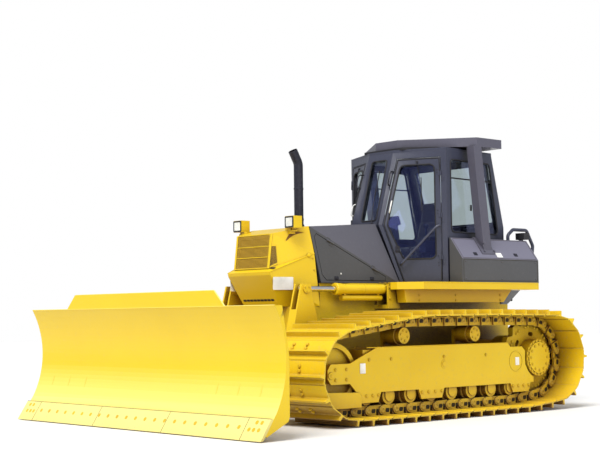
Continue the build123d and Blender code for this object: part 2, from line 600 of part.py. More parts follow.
def edge_line():
    """The straight line of the cutting edge's face: its toe, its direction up and its normal to the rear."""
    toe, knee = (at(EDGE_X), EDGE_Z), (at(EDGE_X + BLADE_KNEE[0]), BLADE_KNEE[1])
    size = hypot(knee[0] - toe[0], knee[1] - toe[1])
    up = ((knee[0] - toe[0]) / size, (knee[1] - toe[1]) / size)
    return toe, up, (-up[1], up[0]), size


def on_edge(height, depth):
    toe, up, rear, size = edge_line()
    return toe[0] + up[0] * height + rear[0] * depth, toe[1] + up[1] * height + rear[1] * depth


def curve_point(place, back):
    return at(EDGE_X + place[0] - back), place[1]


def moldboard_face(front, back):
    """The moldboard's section between two depths behind its working face."""
    size = edge_line()[3]
    foot, foot_back = on_edge(EDGE_HEIGHT * 0.3, EDGE_PLATE + front), on_edge(EDGE_HEIGHT * 0.3, EDGE_PLATE + back)
    knee, knee_back = on_edge(size, EDGE_PLATE + front), on_edge(size, EDGE_PLATE + back)
    belly, belly_back = curve_point(BLADE_BELLY, front), curve_point(BLADE_BELLY, back)
    top, top_back = curve_point(BLADE_TOP, front), curve_point(BLADE_TOP, back)
    edges = [Line(foot, knee), ThreePointArc(knee, belly, top), Line(top, top_back),
             ThreePointArc(top_back, belly_back, knee_back), Line(knee_back, foot_back), Line(foot_back, foot)]
    return make_face(Curve() + edges)


def across_blade(face, y0, y1):
    return extrude(side_plane(y0) * face, amount=-(y1 - y0))


def blade_back():
    """What stiffens and carries the blade behind its skin."""
    x = EDGE_X
    width = BLADE_HALF_WIDTH
    back = side_prism([(x - 150, BLADE_TOP_Z), (x - 270, BLADE_TOP_Z), (x - 290, BLADE_TOP_Z - 150),
                       (x - 200, BLADE_TOP_Z - 190)], -width, width)
    back += side_prism([(x - 100, 130), (x - 250, 160), (x - 262, 290), (x - 170, 310)], -width, width)
    socket_x = YOKE_FRONT_X + YOKE_GAP
    socket = box(socket_x, x - 200, -130, 130, TILT_Z - 110, TILT_Z + 110)
    mouth = YOKE_FRONT_X + TILT_PIN_LENGTH + 4
    back += socket - bar((socket_x - 10, 0, TILT_Z), (mouth, 0, TILT_Z), TILT_PIN_RADIUS + FIT)
    ex, ey, ez = ANGLE_EYE
    for s in (1, -1):
        for z0 in (ez - BLADE_CLEVIS_GAP - CLEVIS_PLATE, ez + BLADE_CLEVIS_GAP):
            z1 = z0 + CLEVIS_PLATE
            back += box(ex - 30, x - 250, s * ey - 80, s * ey + 80, z0, z1)
    y, z = TILT_EYE
    lug_x = TILT_CYL_X - TILT_EYE_WIDTH / 2 - 34
    for x0 in (lug_x, TILT_CYL_X + TILT_EYE_WIDTH / 2 + 14):
        back += box(x0, x0 + 20, y - 90, y + 40, z - 55, z + 55)
    return back + box(lug_x, x - 230, y - 110, y - 85, z - 55, z + 55)


def blade():
    width = BLADE_HALF_WIDTH
    skin = across_blade(moldboard_face(0, SKIN), -width, width)
    ahead = across_blade(moldboard_face(-700, SKIN / 2), -width - 1, width + 1)
    toe_cut = side_prism([(EDGE_X - 130, EDGE_Z - 50), (EDGE_X + 400, EDGE_Z - 50), (EDGE_X + 400, EDGE_Z + 140),
                          (EDGE_X - 90, EDGE_Z + 100)], -width - 1, width + 1)
    end = across_blade(moldboard_face(SKIN / 2, END_DEPTH), width - END_PLATE, width)
    end -= side_prism([(EDGE_X - 40, 25), (EDGE_X - 400, 200), (EDGE_X - 400, -300), (EDGE_X - 40, -300)], 0, width + 1)
    return skin + (blade_back() - ahead - toe_cut) + end + mirrored(end)


def cutting_edge():
    points = [on_edge(0, 0), on_edge(EDGE_HEIGHT, 0), on_edge(EDGE_HEIGHT, EDGE_PLATE), on_edge(25, EDGE_PLATE)]
    return across_blade(make_face(Polyline(*points, close=True)), -BLADE_HALF_WIDTH, BLADE_HALF_WIDTH)


def spill_guard():
    x = EDGE_X + BLADE_TOP[0]
    outline = [(-GUARD_LOW_HALF, BLADE_TOP_Z), (GUARD_LOW_HALF, BLADE_TOP_Z),
               (GUARD_TOP_HALF, BLADE_TOP_Z + GUARD_HEIGHT), (-GUARD_TOP_HALF, BLADE_TOP_Z + GUARD_HEIGHT)]
    return front_prism(outline, x - SKIN, x)


# ------------------------------------------------------------------ cylinders

def along_line(origin, along, start, end, radius):
    return Plane(origin=origin + along * start, z_dir=along) * Cylinder(
        radius, end - start, align=(Align.CENTER, Align.CENTER, Align.MIN))


def eye(origin, axis, radius, width):
    return Plane(origin=origin - axis * (width / 2), z_dir=axis) * Cylinder(
        radius, width, align=(Align.CENTER, Align.CENTER, Align.MIN))


def cylinder_pair(base, end, axis, bore, rod_radius, barrel_length, eye_radius, eye_width, rod_start):
    """A hydraulic cylinder from its base eye to its rod eye, as a barrel and a rod that starts inside it."""
    b, e, axis = point(*base), point(*end), Vector(*axis)
    reach = (e - b).length
    along = (e - b).normalized()
    barrel = along_line(b, along, eye_radius * 1.25, barrel_length, bore)
    barrel += along_line(b, along, barrel_length - 60, barrel_length + 20, bore + 7)
    barrel += eye(b, axis, eye_radius, eye_width) + along_line(b, along, 0, eye_radius * 1.3, eye_width / 2)
    barrel -= along_line(b, along, eye_radius * 1.6, barrel_length + 21, rod_radius + FIT)
    rod = along_line(b, along, rod_start, reach, rod_radius) + eye(e, axis, eye_radius, eye_width)
    return barrel, rod


def lift_cylinder():
    base, end = (LIFT_BASE_X, ARM_MID_Y, LIFT_BASE_Z), (TOWER_PIN_X, ARM_MID_Y, TOWER_PIN_Z)
    barrel, rod = cylinder_pair(base, end, (0, 1, 0), LIFT_BORE_RADIUS, LIFT_ROD_RADIUS, LIFT_BARREL_LENGTH,
                                LIFT_EYE_RADIUS, LIFT_EYE_WIDTH, LIFT_ROD_START)
    pipe_z = LIFT_BASE_Z - LIFT_BORE_RADIUS - LIFT_PIPE_RADIUS - 6
    barrel += bar((LIFT_PIPE_X[0], ARM_MID_Y, pipe_z), (LIFT_PIPE_X[1], ARM_MID_Y, pipe_z), LIFT_PIPE_RADIUS)
    for x in (LIFT_PIPE_X[0] + 30, LIFT_PIPE_X[1] - 60):
        barrel += box(x, x + 30, ARM_MID_Y - 15, ARM_MID_Y + 15, pipe_z, LIFT_BASE_Z - 40)
    return barrel - cross_bar(LIFT_BASE_X, LIFT_BASE_Z, ARM_MID_Y - 80, ARM_MID_Y + 80, 28 + FIT), rod


def angle_cylinder():
    barrel, rod = cylinder_pair(ANGLE_BASE, ANGLE_EYE, (0, 0, 1), ANGLE_BORE_RADIUS, ANGLE_ROD_RADIUS,
                                ANGLE_BARREL_LENGTH, ANGLE_EYE_RADIUS, ANGLE_EYE_WIDTH, ANGLE_ROD_START)
    return barrel - Location(point(*ANGLE_BASE)) * Sphere(BALL_RADIUS + FIT), rod


def angle_ball():
    x, y, z = ANGLE_BASE
    return (Location(point(x, y, z)) * Sphere(BALL_RADIUS)) & box(x - 60, x + 60, y - 60, y + 60, z - BALL_FLAT, z + BALL_FLAT)


def tilt_cylinder():
    base, end = (TILT_CYL_X, *TILT_BASE), (TILT_CYL_X, *TILT_EYE)
    barrel, rod = cylinder_pair(base, end, (1, 0, 0), TILT_BORE_RADIUS, TILT_ROD_RADIUS, TILT_BARREL_LENGTH,
                                TILT_EYE_RADIUS, TILT_EYE_WIDTH, TILT_ROD_START)
    return barrel - bar((TILT_CYL_X - 60, *TILT_BASE), (TILT_CYL_X + 60, *TILT_BASE), TILT_BASE_PIN_RADIUS + FIT), rod


# ------------------------------------------------------------------ nose and hood

def shrunk(corners, inset, top, foot):
    """Corners moved in towards the machine's middle by an inset, and by another at the top and the foot."""
    low = min(z for x, y, z in corners.values())
    high = max(z for x, y, z in corners.values())
    middle = (min(x for x, y, z in corners.values()) + max(x for x, y, z in corners.values())) / 2
    moved = {}
    for name, (x, y, z) in corners.items():
        lift = foot if z < low + 50 else -top * (z - low) / (high - low)
        moved[name] = (x - inset if x > middle else x + inset, y - inset, z + lift)
    return moved


def two_sided(near, across, sides):
    """A symmetric solid: faces that cross the machine, and flat faces of one side with their mirror images."""
    corners = dict(near)
    corners.update({name.lower(): (x, -y, z) for name, (x, y, z) in near.items()})
    return polyhedron(corners, across + sides + [face.lower() for face in sides])


def nose_solid(corners):
    across = ["ABba", "AagG", "GglL", "LlcC", "CceE", "EefF", "BDdb", "DFfd"]
    return two_sided(corners, across, ["AGD", "ADB", "GLD", "LCD", "CFD", "CEF"])


def mask_x(z):
    """The nose's front face at a height."""
    (x0, y0, z0), (x1, y1, z1) = NOSE["G"], NOSE["A"]
    return x0 + (x1 - x0) * (z - z0) / (z1 - z0)


def nose():
    body = nose_solid(NOSE) - nose_solid(shrunk(NOSE, NOSE_SHEET, NOSE_SHEET, -30))
    return body - box(1300, 1500, -GRILLE_HALF, GRILLE_HALF, *GRILLE_Z)


def grille():
    """A frame of level bars, set back a little in the nose's opening."""
    low, high = GRILLE_Z[0] + FIT, GRILLE_Z[1] - FIT
    half = GRILLE_HALF - FIT
    body = side_prism([(mask_x(low) - 10, low), (mask_x(high) - 10, high), (mask_x(high) - 30, high),
                       (mask_x(low) - 30, low)], -half, half)
    pitch = (high - low - 24) / GRILLE_BARS
    for i in range(GRILLE_BARS):
        z = low + 12 + i * pitch
        body -= box(1250, 1500, 20 - half, half - 20, z + 9, z + pitch - 9)
    return body


def radiator():
    return box(1130, 1195, -230, 230, HULL_NOSE_Z, 1760)


def hood_solid(corners):
    return two_sided(corners, ["TKkt", "FfrR", "TtfF", "KRrk"], ["TFR", "TRK"])


def hood_panel():
    """The plane of the hood's right side, its own x along the foot and its y up the panel."""
    foot, front, top = [point(x, -y, z) for x, y, z in (HOOD["R"], HOOD["F"], HOOD["T"])]
    along = (front - foot).normalized()
    return Plane(origin=foot, x_dir=along, z_dir=along.cross(top - foot).normalized())


def panel_slab(plane, outline, depth):
    """An outline in a plane, carried inward."""
    return extrude(plane * make_face(Polyline(*outline, close=True)), amount=-depth)


def outgrown(outline, gap, corner):
    """An outline moved outward by a gap, with its corners rounded."""
    face = offset(make_face(Polyline(*outline, close=True)), gap - corner, kind=Kind.INTERSECTION)
    return offset(face, corner, kind=Kind.ARC) if corner else face


def opening(plane, outline, depth, corner=0):
    """What is cut through a panel for an outline: it starts clear outside the panel."""
    face = plane * outgrown(outline, PANEL_GAP, corner)
    return extrude(face, amount=20) + extrude(face, amount=-depth)


def hinge_plane(start, end, plane):
    """A plane along a panel's hinged edge, given in the panel's own plane: the panel lies on its -y side."""
    first = plane.from_local_coords(Vector(*start, 0))
    along = (plane.from_local_coords(Vector(*end, 0)) - first).normalized()
    return Plane(origin=first, x_dir=along, z_dir=plane.z_dir)


def hinge_leaves(line, places, side):
    """A row of knuckles with their leaves: side -1 is the panel's half, and 1 is its frame's."""
    leaves = []
    start = 0 if side == -1 else HINGE_LENGTH + FIT
    for place in places:
        x0, x1 = place + start, place + start + HINGE_LENGTH
        origin = line.from_local_coords(Vector(x0, PANEL_GAP / 2, HINGE_RADIUS))
        knuckle = Plane(origin=origin, z_dir=line.x_dir) * Cylinder(
            HINGE_RADIUS, HINGE_LENGTH, align=(Align.CENTER, Align.CENTER, Align.MIN))
        y0, y1 = sorted((PANEL_GAP / 2, PANEL_GAP / 2 + side * HINGE_LEAF))
        leaf = line * (Pos((x0 + x1) / 2, (y0 + y1) / 2, 2) * Box(HINGE_LENGTH, y1 - y0, 4))
        leaves.append(knuckle + leaf)
    return leaves


def hood_hinge():
    x0, y0, x1, y1 = HOOD_HINGE
    return hinge_plane((x0, y0), (x1, y1), hood_panel())


def hood():
    body = hood_solid(HOOD) - hood_solid(shrunk(HOOD, HOOD_SHEET, HOOD_SHEET, -40))
    cut = opening(hood_panel(), HOOD_DOOR, 60)
    body = body - cut - mirrored(cut) - upright(EXHAUST_X, 0, 1500, 2100, EXHAUST_RADIUS + 15)
    for leaf in hinge_leaves(hood_hinge(), HOOD_HINGES, 1):
        body += leaf + mirrored(leaf)
    return body


def hood_door():
    """The hood's right side door."""
    door = panel_slab(hood_panel(), HOOD_DOOR, HOOD_DOOR_THICK)
    for leaf in hinge_leaves(hood_hinge(), HOOD_HINGES, -1):
        door += leaf
    return door


def exhaust_pipe():
    knee = (EXHAUST_X, 0, EXHAUST_BEND_Z)
    x, z = EXHAUST_TIP
    beyond = (x + (x - EXHAUST_X) / 10, 0, z + (z - EXHAUST_BEND_Z) / 10)
    pipe = tube([(EXHAUST_X, 0, ENGINE_Z[1]), knee, (x, 0, z)], EXHAUST_RADIUS, 110)
    return pipe - tube([(EXHAUST_X, 0, EXHAUST_BEND_Z - 200), knee, beyond], EXHAUST_RADIUS - EXHAUST_WALL, 110)


def head_lamp():
    lamp = box(1165, 1275, 340, 470, 1895, 2015)
    return lamp + (box(1180, 1240, 300, 385, 1840, 1900) - nose_solid(NOSE))


# ------------------------------------------------------------------ fenders, boxes, tank

def fender():
    x, y = FENDER_FRONT
    outline = [(x, HULL_HALF_WIDTH), (x, y), (x - (FENDER_OUT_Y - y), FENDER_OUT_Y), (FENDER_REAR_X, FENDER_OUT_Y),
               (FENDER_REAR_X, HULL_HALF_WIDTH)]
    plate = plan_prism(outline, FENDER_LOW_Z, DECK_Z)
    plate += side_prism([(20, FENDER_LOW_Z + 1), (-1700, FENDER_LOW_Z + 1), (-1560, SKIRT_LOW_Z), (0, SKIRT_LOW_Z)],
                        HULL_HALF_WIDTH, 760)
    return plate - box(LIFT_BASE_X - LUG_REAR - PANEL_GAP, 300, 400, ARM_MID_Y + LUG_GAP + LUG_PLATE + 20, 1000, 1500)


def cab_plan(gap):
    """The cab's widest outline, moved out by a gap, to clear what stands beside it."""
    low = [(x, y + gap) for x, y in CAB_LOW]
    return low + [(x, -y) for x, y in reversed(low)]


def box_block(lift):
    """The side box's whole block, lifted by a gap."""
    section = [(560, DECK_Z + FIT), (BOX_OUT_Y, DECK_Z + FIT), (BOX_OUT_Y, 1614), (755, 1840), (560, 1840)]
    return Pos(0, 0, lift) * front_prism(section, BOX_REAR_X, BOX_FRONT_X)


def side_box():
    body = box_block(0)
    return body - plan_prism(cab_plan(12), DECK_Z, 1900) - box(BOX_REAR_X - 1, -1750, 500, 640, DECK_Z, 1900)


def rear_lamp():
    """A work lamp on the side box's top, with a bent tube over it."""
    top = 1840
    lamp = box(-2040, -1940, 640, 760, top + 15, top + 90) + box(-1975, -1945, 680, 720, top, top + 20)
    guard = tube([(-1730, 700, top), (-1730, 700, 1900), (-1820, 700, 1965), (-2060, 700, 1965),
                  (-2170, 700, 1790), (-2150, 700, 1660), (BOX_REAR_X, 700, 1660)], 19, 50)
    return lamp, guard


def fuel_tank():
    return box(TANK_REAR_X, BOX_REAR_X - PANEL_GAP, -600, 600, HULL_SHELF_Z + FIT, 1800)


# ------------------------------------------------------------------ cab

def inner_outline(points):
    """The cab's inner outline: its walls are CAB_WALL thick, square to each side."""
    front, knee, post, rear = points
    skew = CAB_WALL * sqrt(2)
    slope = (post[1] - rear[1]) / (post[0] - rear[0])
    total = post[0] + post[1] - skew
    inner_y = post[1] - CAB_WALL
    post_x = (total - inner_y + slope * post[0]) / (1 + slope)
    rear_x = rear[0] + CAB_WALL
    return [(front[0] - skew, front[1]), (knee[0] - skew, knee[1]), (post_x, total - post_x),
            (rear_x, inner_y + slope * (rear_x - post[0]))]


def cab_body(shape):
    low = solid_between(level(shape(CAB_LOW), CAB_LOW_Z), level(shape(CAB_WAIST), WAIST_Z))
    return low + solid_between(level(shape(CAB_WAIST), WAIST_Z), level(shape(CAB_TOP), ROOF_Z))


def cab_inside():
    return cab_body(inner_outline)


def cab_outside():
    return cab_body(list)


def wall_plane(first, second):
    """An upright plane through two plan points: its own x runs from first to second, its y is Z."""
    along = (point(*second, 0) - point(*first, 0)).normalized()
    return Plane(origin=point(*first, 0), x_dir=along, z_dir=along.cross(Vector(0, 0, 1)))


def end_plane(low_x, top_x, across):
    """A plane up the cab's sloping front or rear: its own x runs across, its y up the slope."""
    low = point(low_x, 0, WAIST_Z)
    up = (point(top_x, 0, ROOF_Z) - low).normalized()
    x_dir = Vector(0, across, 0)
    return Plane(origin=low, x_dir=x_dir, z_dir=x_dir.cross(up))


DOOR_PLANE = wall_plane(CAB_WAIST[1], CAB_WAIST[2])
SIDE_PLANE = wall_plane(CAB_WAIST[2], CAB_WAIST[3])
FRONT_PLANE = end_plane(CAB_WAIST[0][0], CAB_TOP[0][0], 1)
REAR_PLANE = end_plane(CAB_WAIST[3][0], CAB_TOP[3][0], -1)

# outlines in those planes: (along, up)
DOOR_TOP_Z = 2710.0
DOOR = [(48, WAIST_Z), (225, DOOR_TOP_Z), (672, DOOR_TOP_Z), (672, CAB_LOW_Z + 8), (266, CAB_LOW_Z + 8)]
DOOR_WINDOW = [(96, WAIST_Z), (258, 2640), (612, 2640), (612, 1620), (262, 1620)]
SIDE_WINDOW = [(75, 1905), (960, 1905), (805, 2690), (75, 2690)]
FRONT_WINDOW = [(-115, 55), (115, 55), (115, 750), (-115, 750)]
REAR_WINDOW = [(-500, 60), (500, 60), (518, 730), (-518, 730)]
DOOR_WINDOW_ROUND = 60.0
SIDE_WINDOW_ROUND = 45.0
FRONT_WINDOW_ROUND = 30.0
REAR_WINDOW_ROUND = 50.0


DOOR_HINGES = (150.0, 600.0, 1050.0)


def door_hinge():
    """The plane down the door's rear edge."""
    edge = max(s for s, z in DOOR)
    return hinge_plane((edge, DOOR_TOP_Z), (edge, CAB_LOW_Z), DOOR_PLANE)


def cab_frame():
    shell = cab_outside() - cab_inside()
    for leaf in hinge_leaves(door_hinge(), DOOR_HINGES, 1):
        shell += leaf + mirrored(leaf)
    for cut in (opening(DOOR_PLANE, DOOR, 75), opening(SIDE_PLANE, SIDE_WINDOW, 75, SIDE_WINDOW_ROUND)):
        shell = shell - cut - mirrored(cut)
    shell -= opening(FRONT_PLANE, FRONT_WINDOW, 110, FRONT_WINDOW_ROUND)
    return shell - opening(REAR_PLANE, REAR_WINDOW, 75, REAR_WINDOW_ROUND)


def cab_floor():
    floor = cab_inside() & box(-2000, 0, -900, 900, CAB_LOW_Z, CAB_LOW_Z + CAB_FLOOR)
    doorway = opening(DOOR_PLANE, DOOR, CAB_WALL + PANEL_GAP)
    return floor - doorway - mirrored(doorway)


def cab_roof():
    return plan_prism(CAB_TOP + [(x, -y) for x, y in reversed(CAB_TOP)], ROOF_Z, ROOF_Z + ROOF_THICK)


def pane(plane, outline, corner):
    """Glass that fills an opening, set back from the panel's face."""
    face = plane.offset(-18) * outgrown(outline, PANEL_GAP, corner)
    return extrude(face, amount=-GLASS)


def cab_glass():
    side = pane(SIDE_PLANE, SIDE_WINDOW, SIDE_WINDOW_ROUND)
    front = pane(FRONT_PLANE, FRONT_WINDOW, FRONT_WINDOW_ROUND)
    return side, mirrored(side), front, pane(REAR_PLANE, REAR_WINDOW, REAR_WINDOW_ROUND)


def door():
    panel = panel_slab(DOOR_PLANE, DOOR, CAB_WALL)
    panel -= opening(DOOR_PLANE, DOOR_WINDOW, CAB_WALL + 1, DOOR_WINDOW_ROUND)
    for leaf in hinge_leaves(door_hinge(), DOOR_HINGES, -1):
        panel += leaf
    return panel


def door_glass():
    return pane(DOOR_PLANE, DOOR_WINDOW, DOOR_WINDOW_ROUND)


def tube(points, radius, bend):
    """A round tube along a run of points, bent to one radius at each."""
    places = [point(*place) for place in points]
    path = FilletPolyline(*places, radius=bend)
    start = Plane(origin=places[0], z_dir=(places[1] - places[0]).normalized())
    return sweep(start * Circle(radius), path=path)


def on_door(s, out, z):
    """A place over the door: along it, out from it and up."""
    x, y = CAB_WAIST[1]
    return x - (s - out) / sqrt(2), y + (s + out) / sqrt(2), z


def door_rail():
    """The door's grab rail, bent round at its top and its foot."""
    return tube([on_door(234, 0, 1562), on_door(234, 62, 1562), on_door(600, 62, 1945), on_door(654, 62, 1975),
                 on_door(654, 0, 1975)], 13, 24)


def console(s):
    """An arm console with one lever."""
    y0, y1 = sorted((s * 285, s * 420))
    y = (y0 + y1) / 2
    stand = box(-1180, -760, y0, y1, CAB_LOW_Z + CAB_FLOOR, 1700)
    stand += box(-1150, -700, y0 + 20, y1 - 20, 1700, 1830)
    return stand + upright(-760, y, 1830, 1980, 12) + Location(point(-760, y, 1990)) * Sphere(28)


def dashboard():
    floor = CAB_LOW_Z + CAB_FLOOR
    stand = side_prism([(-560, floor), (-470, floor), (-430, 1850), (-540, 1900)], -90, 90)
    return stand + side_prism([(-545, 1850), (-430, 1840), (-420, 1900), (-520, 2010)], -160, 160)


def rops_post():
    """A leaning post that stands on the side box, with a flange at its foot."""
    plan = [(60, 760), (60, 860), (-70, 860), (-70, 760)]
    ends = []
    for z in (1560, CANOPY_LOW_Z + 5):
        lean = POST_TOP_X - POST_LEAN * (CANOPY_LOW_Z - z)
        ends.append([(lean + x, y, z) for x, y in plan])
    post = solid_between(*ends)
    foot_x = POST_TOP_X - POST_LEAN * (CANOPY_LOW_Z - 1790)
    flange = (box(foot_x - 110, foot_x + 100, 735, 885, 1500, 2000) & box_block(16))
    return post + flange - box_block(FIT)


def rops():
    plan = [(-530, 170), (-1050, 860), (-1460, 860)]
    canopy = plan_prism(plan + [(x, -y) for x, y in reversed(plan)], CANOPY_LOW_Z, CANOPY_TOP_Z)
    canopy += box(-1500, -700, -300, 300, ROOF_Z + ROOF_THICK + FIT, CANOPY_LOW_Z + 1)
    return canopy + rops_post() + mirrored(rops_post())


def seat():
    base = box(-1180, -800, -200, 200, CAB_LOW_Z + CAB_FLOOR, 1640)
    cushion = box(-1200, -720, -245, 245, 1640 + FIT, 1760)
    back = solid_between(level([(-1150, 230), (-1280, 230)], 1760 + FIT), level([(-1290, 200), (-1400, 200)], 2330))
    return base, cushion, back


# ------------------------------------------------------------------ build

def build():
    pins = chain_pins()
    for side, s in BOTH_SIDES:
        write(side + "_track", sided(track_loop(pins), s))
        write(side + "_track_frame", sided(track_frame(), s))
    step = (ROLLER_FRONT_X - ROLLER_REAR_X) / (ROLLER_COUNT - 1)
    clearances = [5.0] + [FIT] * (ROLLER_COUNT - 2) + [5.0]
    bottoms = [bottom_roller(ROLLER_REAR_X + i * step, clearances[i]) for i in range(ROLLER_COUNT)]
    carriers = [carrier_roller(x) for x in CARRIER_XS]
    write("bottom_rollers", *[sided(part, s) for part in bottoms for side, s in BOTH_SIDES])
    write("carrier_rollers", *[sided(part, s) for part in carriers for side, s in BOTH_SIDES])
    write("idlers", idler(), mirrored(idler()))
    write("sprockets", sprocket(), mirrored(sprocket()))
    write("main_frame", main_frame())
    write("engine_block", engine_block())
    write("final_drives", final_drive(), mirrored(final_drive()))
    write("drawbar", drawbar())
    write("push_frame", push_frame())
    write("blade_yoke", blade_yoke())
    write("blade", blade())
    write("cutting_edge", cutting_edge())
    write("spill_guard", spill_guard())
    for side, s in BOTH_SIDES:
        for name, (barrel, rod) in (("lift", lift_cylinder()), ("angle", angle_cylinder())):
            write(side + "_" + name + "_barrel", sided(barrel, s))
            write(side + "_" + name + "_rod", sided(rod, s))
        write(side + "_angle_ball", sided(angle_ball(), s))
    barrel, rod = tilt_cylinder()
    write("tilt_barrel", barrel)
    write("tilt_rod", rod)
    write("nose", nose())
    write("grille", grille())
    write("radiator", radiator())
    write("hood", hood())
    write("exhaust_pipe", exhaust_pipe())
    write("head_lamps", head_lamp(), mirrored(head_lamp()))
    write("fenders", fender(), mirrored(fender()))
    write("side_boxes", side_box(), mirrored(side_box()))
    write("fuel_tank", fuel_tank())
    lamp, guard = rear_lamp()
    write("rear_lamps", lamp, mirrored(lamp))
    write("lamp_guards", guard, mirrored(guard))
    write("consoles", console(1), console(-1))
    write("dashboard", dashboard())
    write("cab_frame", cab_frame())
    write("cab_floor", cab_floor())
    write("cab_roof", cab_roof())
    write("cab_glass", *cab_glass())
    for side, s in BOTH_SIDES:
        write(side + "_door", sided(door(), s))
        write(side + "_door_glass", sided(door_glass(), s))
        write(side + "_door_rail", sided(door_rail(), s))
        write(side + "_hood_door", sided(hood_door(), -s))
    write("rops_canopy", rops())
    base, cushion, back = seat()
    write("seat_base", base)
    write("seat_cushion", cushion)
    write("seat_back", back)


os.makedirs("parts", exist_ok=True)
build()
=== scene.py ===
from math import acos, atan2, cos, hypot, pi, radians, sin, sqrt, tan
import bmesh
import bpy
from mathutils import Matrix, Vector
from mathutils.bvhtree import BVHTree


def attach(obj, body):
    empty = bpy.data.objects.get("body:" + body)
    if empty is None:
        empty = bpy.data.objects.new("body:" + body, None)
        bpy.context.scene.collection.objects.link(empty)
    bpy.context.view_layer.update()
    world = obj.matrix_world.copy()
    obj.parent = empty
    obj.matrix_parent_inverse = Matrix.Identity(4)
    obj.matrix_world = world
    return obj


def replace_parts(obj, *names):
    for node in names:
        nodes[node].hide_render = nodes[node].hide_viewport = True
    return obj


# A wide-track bulldozer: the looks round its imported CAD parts.
# Stations, sides and heights are in millimetres, as a maker's drawing gives them; spot() turns them
# into the frame's metres.

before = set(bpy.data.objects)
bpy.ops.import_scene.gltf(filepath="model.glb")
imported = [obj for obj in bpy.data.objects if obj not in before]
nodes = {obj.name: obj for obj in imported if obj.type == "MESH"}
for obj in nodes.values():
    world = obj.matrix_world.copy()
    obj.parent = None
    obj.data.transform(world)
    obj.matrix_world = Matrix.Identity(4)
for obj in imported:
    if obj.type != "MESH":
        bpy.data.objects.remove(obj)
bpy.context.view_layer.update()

ZERO_STATION = 320.0
TRACK_Y = 1065.0
SIDES = (("left", 1), ("right", -1))
UP = Vector((0, 0, 1))


def spot(x, y, z):
    return Vector(((x - ZERO_STATION) / 1000, y / 1000, z / 1000))


# ------------------------------------------------------------------ node groups

def node(group, kind, inputs=None, **settings):
    made = group.nodes.new(kind)
    for name, value in settings.items():
        setattr(made, name, value)
    for key, value in (inputs or {}).items():
        if isinstance(value, bpy.types.NodeSocket):
            group.links.new(value, made.inputs[key])
        else:
            made.inputs[key].default_value = value
    return made


def new_finish(name):
    finish = bpy.data.materials.new(name)
    finish.use_nodes = True
    finish.node_tree.nodes.clear()
    return finish, finish.node_tree, node(finish.node_tree, "ShaderNodeTexCoord").outputs["Object"]


def surfaced(finish, inputs):
    """Closes a finish with its principled surface."""
    shader = node(finish.node_tree, "ShaderNodeBsdfPrincipled", inputs)
    node(finish.node_tree, "ShaderNodeOutputMaterial", {"Surface": shader.outputs[0]})
    return finish


def noise(group, coords, scale, detail=2.0, roughness=0.5):
    return node(group, "ShaderNodeTexNoise", {"Vector": coords, "Scale": scale, "Detail": detail,
                                              "Roughness": roughness}).outputs["Fac"]


def ranged(group, value, low, high, to_low=0.0, to_high=1.0):
    return node(group, "ShaderNodeMapRange", {"Value": value, "From Min": low, "From Max": high,
                                              "To Min": to_low, "To Max": to_high}).outputs["Result"]


def maths(group, operation, first, second):
    return node(group, "ShaderNodeMath", {0: first, 1: second}, operation=operation).outputs[0]


def mixed(group, share, first, second, blend="MIX"):
    made = node(group, "ShaderNodeMix", {"Factor": share}, data_type="RGBA", blend_type=blend)
    for socket, value in ((made.inputs[6], first), (made.inputs[7], second)):
        if isinstance(value, bpy.types.NodeSocket):
            group.links.new(value, socket)
        else:
            socket.default_value = (*value, 1)
    return made.outputs[2]


def painted(name, colour, shade, painted_hollow_shade, roughness, wear=0.0, worn=(0.3, 0.29, 0.27), dust=0.0,
            peel=0.12, coat=0.0, shade_reach=0.45, edge=0.004, painted_sky_light=None, open_at=0.8, shut_at=0.2):
    """Paint or bare metal: broad and fine tone, painted shade darkening the hollows, painted light on
    up-facing faces where a sky colour is given, rubbed edges, dust low down, a fine skin.
    """
    finish, group, coords = new_finish(name)
    broad = noise(group, coords, 1.3, 3)
    fine = noise(group, coords, 34, 4, 0.65)
    tone = mixed(group, ranged(group, broad, 0.35, 0.7), colour, shade)
    tone = mixed(group, ranged(group, fine, 0.52, 0.75, 0, 0.35), tone, shade)
    facing = node(group, "ShaderNodeNewGeometry").outputs["Normal"]
    # Painted light from above: faces turned upward lighten towards the sky colour.
    if painted_sky_light:
        upward = node(group, "ShaderNodeSeparateXYZ", {0: facing}).outputs["Z"]
        tone = mixed(group, ranged(group, upward, 0.1, 0.6), tone, painted_sky_light)
    # Painted shade: where ambient occlusion finds surfaces near, the colour turns to the hollow colour.
    cover = node(group, "ShaderNodeAmbientOcclusion", {"Distance": shade_reach}, samples=6).outputs["AO"]
    tone = mixed(group, ranged(group, cover, open_at, shut_at), tone, painted_hollow_shade)
    rounding = node(group, "ShaderNodeBevel", {"Radius": edge}, samples=4).outputs["Normal"]
    if wear:
        turn = node(group, "ShaderNodeVectorMath", {0: rounding, 1: facing},
                    operation="DOT_PRODUCT").outputs["Value"]
        rubbed = ranged(group, maths(group, "ADD", turn, ranged(group, fine, 0.3, 0.7, -0.06, 0.06)), 0.985,
                        0.93, 0, wear)
        tone = mixed(group, rubbed, tone, worn)
    if dust:
        height = node(group, "ShaderNodeSeparateXYZ", {0: coords}).outputs["Z"]
        low = ranged(group, maths(group, "ADD", height, ranged(group, fine, 0, 1, -0.25, 0.25)), 0.55, 0.0, 0,
                     dust)
        tone = mixed(group, low, tone, (0.42, 0.30, 0.13))
    gloss = ranged(group, fine, 0.3, 0.8, roughness - 0.05, roughness + 0.09)
    skin = node(group, "ShaderNodeBump", {"Height": noise(group, coords, 210, 2), "Strength": peel,
                                          "Distance": 0.0012, "Normal": rounding}).outputs["Normal"]
    return surfaced(finish, {"Base Color": tone, "Roughness": gloss, "Specular IOR Level": 0.35,
                             "Coat Weight": coat, "Coat Roughness": 0.22, "Normal": skin})


